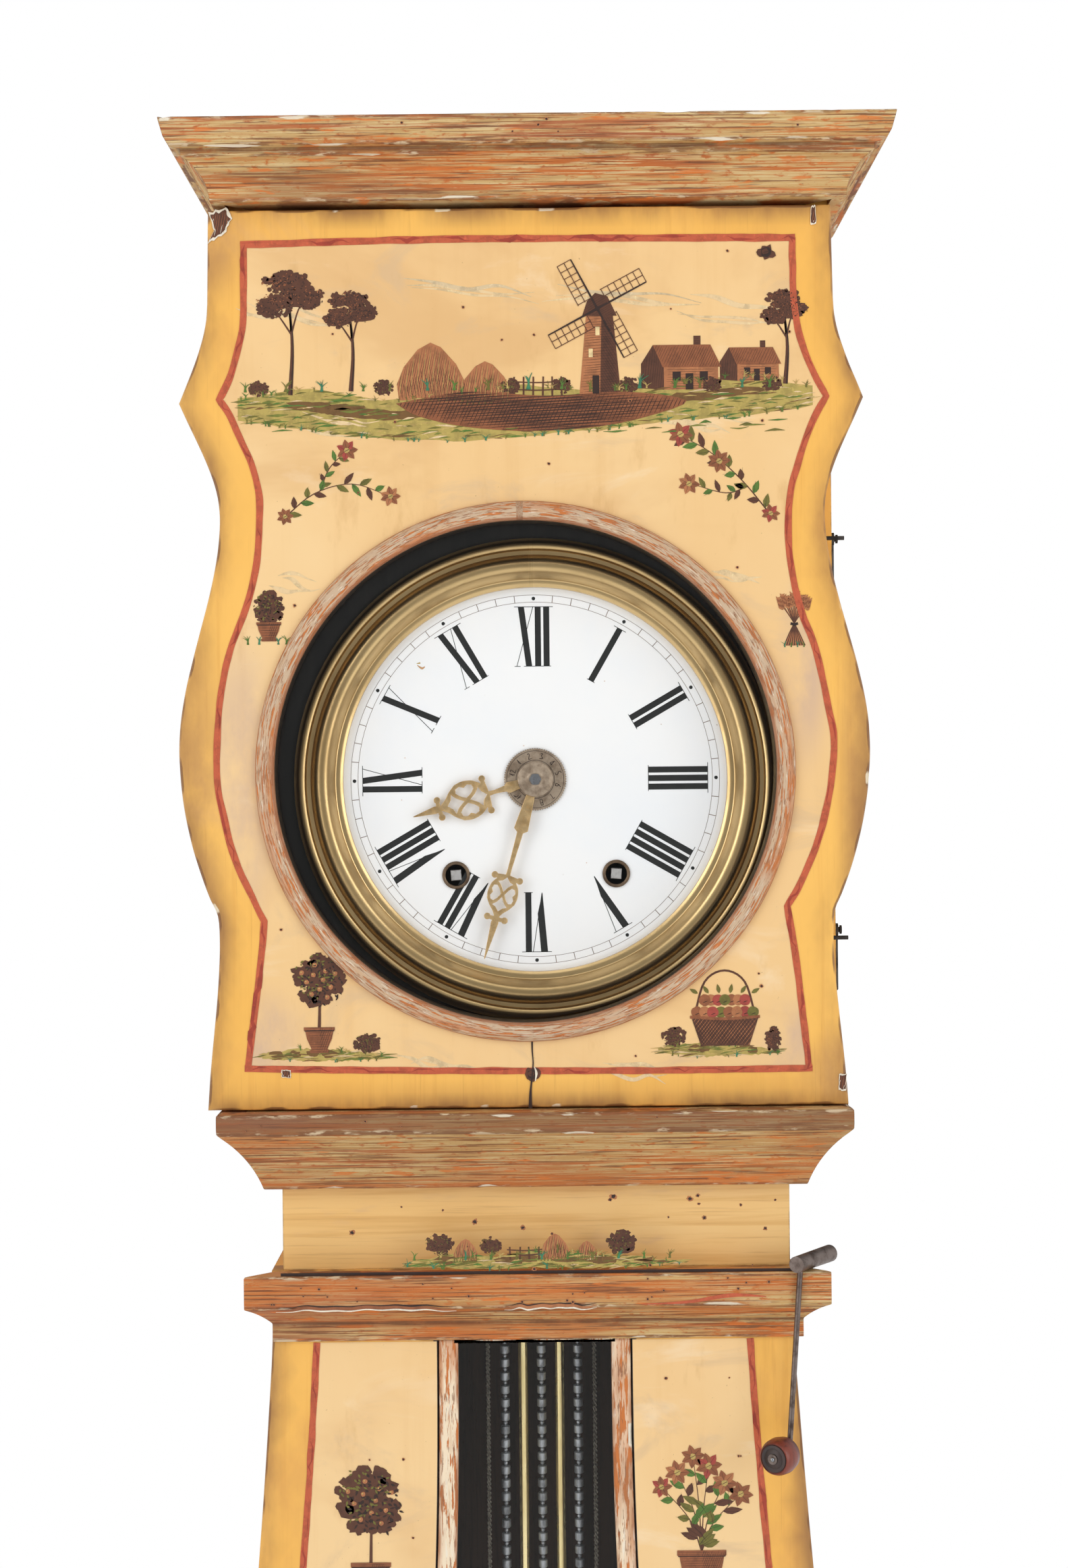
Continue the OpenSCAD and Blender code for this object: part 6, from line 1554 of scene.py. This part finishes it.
# A dark ink line along the neck's foot, painted shadow where the neck meets the trunk cornice
neck_art.stroke([(-162, ledge + 0.8), (0, ledge + 0.6), (159, ledge + 0.8)], (2.2, 3.0, 2.2),
                "ink", 5)
worm_holes(neck_art, 10, -155, 155, -306, -260)
neck_art.make()

trunk_front = front_loops("trunk_front")
plate("trunk_front_board", trunk_front[:2], trunk_y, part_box("trunk_front")[1].y,
      LOOKS["ochre"], "case", "cream_paint", ("trunk_front",), edge=0.9 * MM, step=8 * MM,
      grid=14 * MM, chips=0.5, seed=5)
# The glazed opening reaches up behind the cornice, so no top rail shows
door_loops = front_loops("trunk_door")[:2]
rail_top = max(p.y for p in door_loops[0])
for p in door_loops[1]:
    if p.y > rail_top - 6 * MM:
        p.y = rail_top - 1.2 * MM
plate("trunk_door_frame", door_loops, trunk_y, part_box("trunk_door")[1].y, LOOKS["strip"],
      "trunk_door", "strip_paint", ("trunk_door",), step=6 * MM, grid=5 * MM, wear=0.6,
      chips=1.0, seed=6)


def crossing(loop, z, side):
    """How far out an outline lies on one side at a height, as a distance from x = 0."""
    found = [a.x + (z - a.y) / (b.y - a.y) * (b.x - a.x)
             for a, b in zip(loop, loop[1:] + loop[:1]) if (a.y > z) != (b.y > z)]
    return max(found) if side > 0 else min(found)


# A cream panel, a stripe and flowers in pots on each side of the trunk's window
STRIPE_IN = 28.3     # from the trunk's edge to the middle of the stripe, in mm
POT_STEP = 176
LEVELS = 80
trunk_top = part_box("trunk_cornice")[0].z / MM - DIAL_Z / MM
door_low = (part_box("trunk_door")[0].z - DIAL_Z) / MM
panel_low = door_low - 90
for side, label in ((-1, "left"), (1, "right")):
    levels = [panel_low + (trunk_top - 1 - panel_low) * k / LEVELS for k in range(LEVELS + 1)]
    outer, inner = [], []
    for level in levels:
        z = (DIAL_Z / MM + level) * MM
        outer.append((crossing(trunk_front[0], z, side) / MM - side * STRIPE_IN, level))
        if level > door_low + 1:
            inner.append((crossing(trunk_front[1], z, side) / MM + side * 0.6, level))
        else:
            inner.append((-2.0, level))
    strip = [(Vector(a), Vector(b)) for a, b in zip(outer, inner)]
    piece(f"trunk_cream_field_{label}",
          [(p.x * MM, trunk_y - 2 * PAINT, DIAL_Z + p.y * MM) for pair in strip for p in pair],
          [(2 * k, 2 * k + 2, 2 * k + 3, 2 * k + 1)[::side] for k in range(len(strip) - 1)],
          LOOKS["cream"], "case", "cream_paint", closed=False)
    d = Decor(f"trunk_painting_{label}", trunk_y - 2 * PAINT, "case", "cream_paint", 31 + side)
    edging(d, curve_points(outer[::4], 3))
    edging(d, [(outer[0][0] - side * 1.8, panel_low), (-2, panel_low)])
    for k in range(5):
        foot = trunk_top - 160 - POT_STEP * k
        near = min(range(len(levels)), key=lambda n: abs(levels[n] - foot - 40))
        x, wide = (outer[near][0] + inner[near][0]) / 2, abs(outer[near][0] - inner[near][0])
        size = min(1.0, wide / 66)
        d.ground(x - 0.42 * wide, x + 0.42 * wide, (foot - 3, foot + 1, foot - 1, foot - 3),
                 (foot - 6, foot - 9, foot - 8, foot - 6), 50)
        if (k + (side > 0)) % 2:
            bouquet(d, x, foot + 24, 25 * size, 66 * size, 6)
            pot(d, x, foot - 2, 30 * size, 27 * size)
        else:
            tree_in_tub(d, x, foot - 2, 82 * size)
            for u in (-1, 1):
                d.crown(x + u * 19 * size, foot + 4, 6, 6, "olive", 3, 26)
        for u in range(-3, 4):
            d.tuft(x + u * 8 * size, foot - 3, 6, ("teal", "grass", "olive")[u % 3], 5)
    for k in range(30):
        (x, level), (near, _) = strip[d.random.randrange(len(strip) - 2)]
        x += (near - x) * d.random.uniform(0.1, 0.9)
        worm_holes(d, 1, x, x, level, level)
    d.make()

# The pendulum, the cords and the crank's knob

# Beads and collared bars in turn down each column: radii and drops in mm
PITCH, BEAD_R, BEAD_DROP, COLUMN_Y = 8.8 * MM, 1.45, 1.7 * MM, -0.030
BAR = ((0.7, 3.35), (2.5, 3.4), (3.0, 3.8), (3.0, 8.2), (2.5, 8.75), (0.7, 8.8))
column_low, column_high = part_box("beaded_columns")
shape = []
for k in range(int((column_high.z - column_low.z) / PITCH)):
    z = column_high.z - k * PITCH
    for angle in range(20, 161, 20):
        a = math.radians(angle)
        shape.append((BEAD_R * math.sin(a) * MM, z - BEAD_DROP + BEAD_R * math.cos(a) * MM))
    shape += [(r * MM, z - down * MM) for r, down in BAR]
for number, x in enumerate((-24, 0, 24)):
    lathe(f"beaded_column_{number + 1}", shape, (dial_x + x * MM, COLUMN_Y, 0), LOOKS["bar"],
          "pendulum", "steel", ("beaded_columns",), turns=20, axis="Z", smooth=45)

# Three strands of six-sided section, laid round each other
CORD_R, STRAND_R, LAY = 0.78 * MM, 0.86 * MM, 9.5 * MM
for line, weight in (("going_line", "going_weight"), ("strike_line", "strike_weight")):
    low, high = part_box(line)
    x, y = (low.x + high.x) / 2, (low.y + high.y) / 2
    rings = int((high.z - low.z) / LAY * 10)
    verts, faces = [], []
    for strand in range(3):
        start = len(verts)
        for k in range(rings + 1):
            z = high.z - (high.z - low.z) * k / rings
            turn = 2 * math.pi * ((high.z - z) / LAY + strand / 3)
            for n in range(6):
                a = 2 * math.pi * n / 6
                out = CORD_R + STRAND_R * math.cos(a)
                verts.append((x + out * math.cos(turn), y + out * math.sin(turn),
                              z + STRAND_R * math.sin(a)))
        for k in range(rings):
            faces += band(start + 6 * k, start + 6 * k + 6, 6)
    cord = piece(line + "_twisted", verts, faces, LOOKS["cord"], None, "cord", (line,), smooth=80)
    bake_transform(cord)

CRANK_YAW = math.radians(-35)
knob_low, knob_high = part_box("crank_knob")
axis = Matrix.Rotation(CRANK_YAW, 3, "Z") @ Vector((0, -1, 0))
knob_foot = (knob_low + knob_high) / 2 - axis * 9 * MM
for name, look, body, slot, replaced, turns, shape in (
        ("crank_knob_turned", "knob", "crank_knob", "knob_wood", ("crank_knob",), 64,
         ((2, 0), (8, 0), (10.4, 2.5), (11.5, 8.1), (11.1, 13.6), (10, 16.6), (9.2, 17.4),
          (8.9, 16.8), (8.6, 16.8))),
        ("crank_knob_face", "knob_face", "crank_knob", "knob_wood", (), 64,
         ((8.6, 16.8), (8.3, 17.5), (6.4, 17.7), (6.2, 17.4), (5.9, 17.4), (5.7, 17.7),
          (2, 17.8))),
        ("crank_pin_head", "steel", "crank", "dark_iron", (), 24,
         ((0.01, 20.4), (1.1, 20.2), (1.5, 19.3)))):
    lathe(name, [(r * MM, -out * MM) for r, out in shape], knob_foot, LOOKS[look], body, slot,
          replaced, turns=turns, smooth=60, yaw=CRANK_YAW)

# Materials of the CAD nodes

PAINTED = {
    "ochre_sides": ("trunk_sides", "head_sides"), "ochre_neck": ("neck_boards",),
    "pine": ("roof_board",), "inside": ("floor_board", "trunk_back", "head_back"),
    # The dial mask takes matt black as painted shade
    "dark_wood": ("seat_board", "turn_button"), "shade_black": ("dial_mask",),
    "iron": ("case_irons", "head_door_irons", "upper_hook", "lower_hook", "trunk_door_irons",
             "cage_frame", "cage_straps", "hammer"),
    "crank": ("crank",),
    "glass": ("dial_glass", "trunk_door_glass"), "enamel": ("enamel_dial",),
    "steel": ("motion_bridge", "centre_arbor", "hand_nut", "anchor", "suspension"),
    "rod": ("pendulum_frame", "bob"),
    "gilt": ("hour_wheel", "minute_wheel", "second_wheel", "going_great_wheel", "third_wheel",
             "escape_wheel", "strike_great_wheel", "pin_wheel", "fly"),
    "brass": ("going_barrel", "strike_barrel", "bell"), "cast": ("going_weight", "strike_weight"),
}
for look, names in PAINTED.items():
    for name in names:
        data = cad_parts[name].data
        for slot in range(len(data.materials)):
            data.materials[slot] = LOOKS[look]

# Camera and light

CAMERA_PLACE, CAMERA_ROLL = (0, -1.605, 1.932), -0.6
camera = bpy.data.objects.new("camera", bpy.data.cameras.new("camera"))
camera.data.lens = 55
camera.data.sensor_width = 36
camera.matrix_world = (Matrix.Translation(CAMERA_PLACE) @ Matrix.Rotation(math.pi / 2, 4, "X")
                       @ Matrix.Rotation(math.radians(CAMERA_ROLL), 4, "Z"))
scene.collection.objects.link(camera)
scene.camera = camera

# Name, place, aim, width, height and power of each softbox
for name, place, aim, width, height, power in (
        ("softbox_left", (-1.9, -1.8, 2.4), (0, 0, 1.8), 1.2, 2.4, 22),
        ("softbox_right", (1.9, -1.8, 2.3), (0, 0, 1.8), 1.2, 2.4, 20),
        ("softbox_top", (0, -1.6, 3.8), (0, 0, 1.7), 2.0, 1.2, 8)):
    light = bpy.data.lights.new(name, "AREA")
    light.shape = "RECTANGLE"
    light.size, light.size_y, light.energy = width, height, power
    lamp = bpy.data.objects.new(name, light)
    lamp.location = place
    lamp.rotation_euler = (Vector(aim) - Vector(place)).to_track_quat("-Z", "Y").to_euler()
    lamp.visible_camera = False
    scene.collection.objects.link(lamp)

# White to the camera; in reflections it is brighter at the sides than ahead
world = bpy.data.worlds.new("studio")
scene.world = world
world.use_nodes = True
tree = world.node_tree
ray = add(tree, "LightPath").outputs
parts = add(tree, "SeparateXYZ", {0: add(tree, "TexCoord").outputs["Generated"]})
aside = add(tree, "Math", {0: parts.outputs[0]}, operation="ABSOLUTE").outputs[0]
glow = add(tree, "MapRange", {0: aside, 1: 0.45, 2: 0.8, 3: 0.31, 4: 1.0}).outputs[0]
soft = add(tree, "Mix", {0: ray["Is Glossy Ray"], 2: 0.45, 3: glow}).outputs[0]
white = add(tree, "Mix", {0: ray["Is Camera Ray"], 2: soft, 3: 1.0}).outputs[0]
backdrop = tree.nodes["Background"].inputs
backdrop["Color"].default_value = (1, 1, 1, 1)
feed(tree, backdrop["Strength"], white)

# A floor that melts into the white with the distance from its middle
floor_mesh = bpy.data.meshes.new("floor")
work = bmesh.new()
bmesh.ops.create_circle(work, cap_ends=True, segments=96, radius=7)
work.to_mesh(floor_mesh)
work.free()
floor = bpy.data.objects.new("floor", floor_mesh)
scene.collection.objects.link(floor)
look = Surface("floor_pale", rgb(243, 243, 243), rough=0.7)
glare = look.node("Emission", {"Color": (1, 1, 1, 1), "Strength": 1.0})
far = look.vector("LENGTH", look.place((1, 1, 1))).outputs["Value"]
blend = look.node("MixShader", {0: look.limit(far, 0.25, 1.7), 1: look.shader.outputs[0],
                                2: glare.outputs[0]})
feed(look.tree, look.tree.nodes["Material Output"].inputs[0], blend.outputs[0])
floor_mesh.materials.append(look.material)

scene.view_settings.view_transform = "Standard"
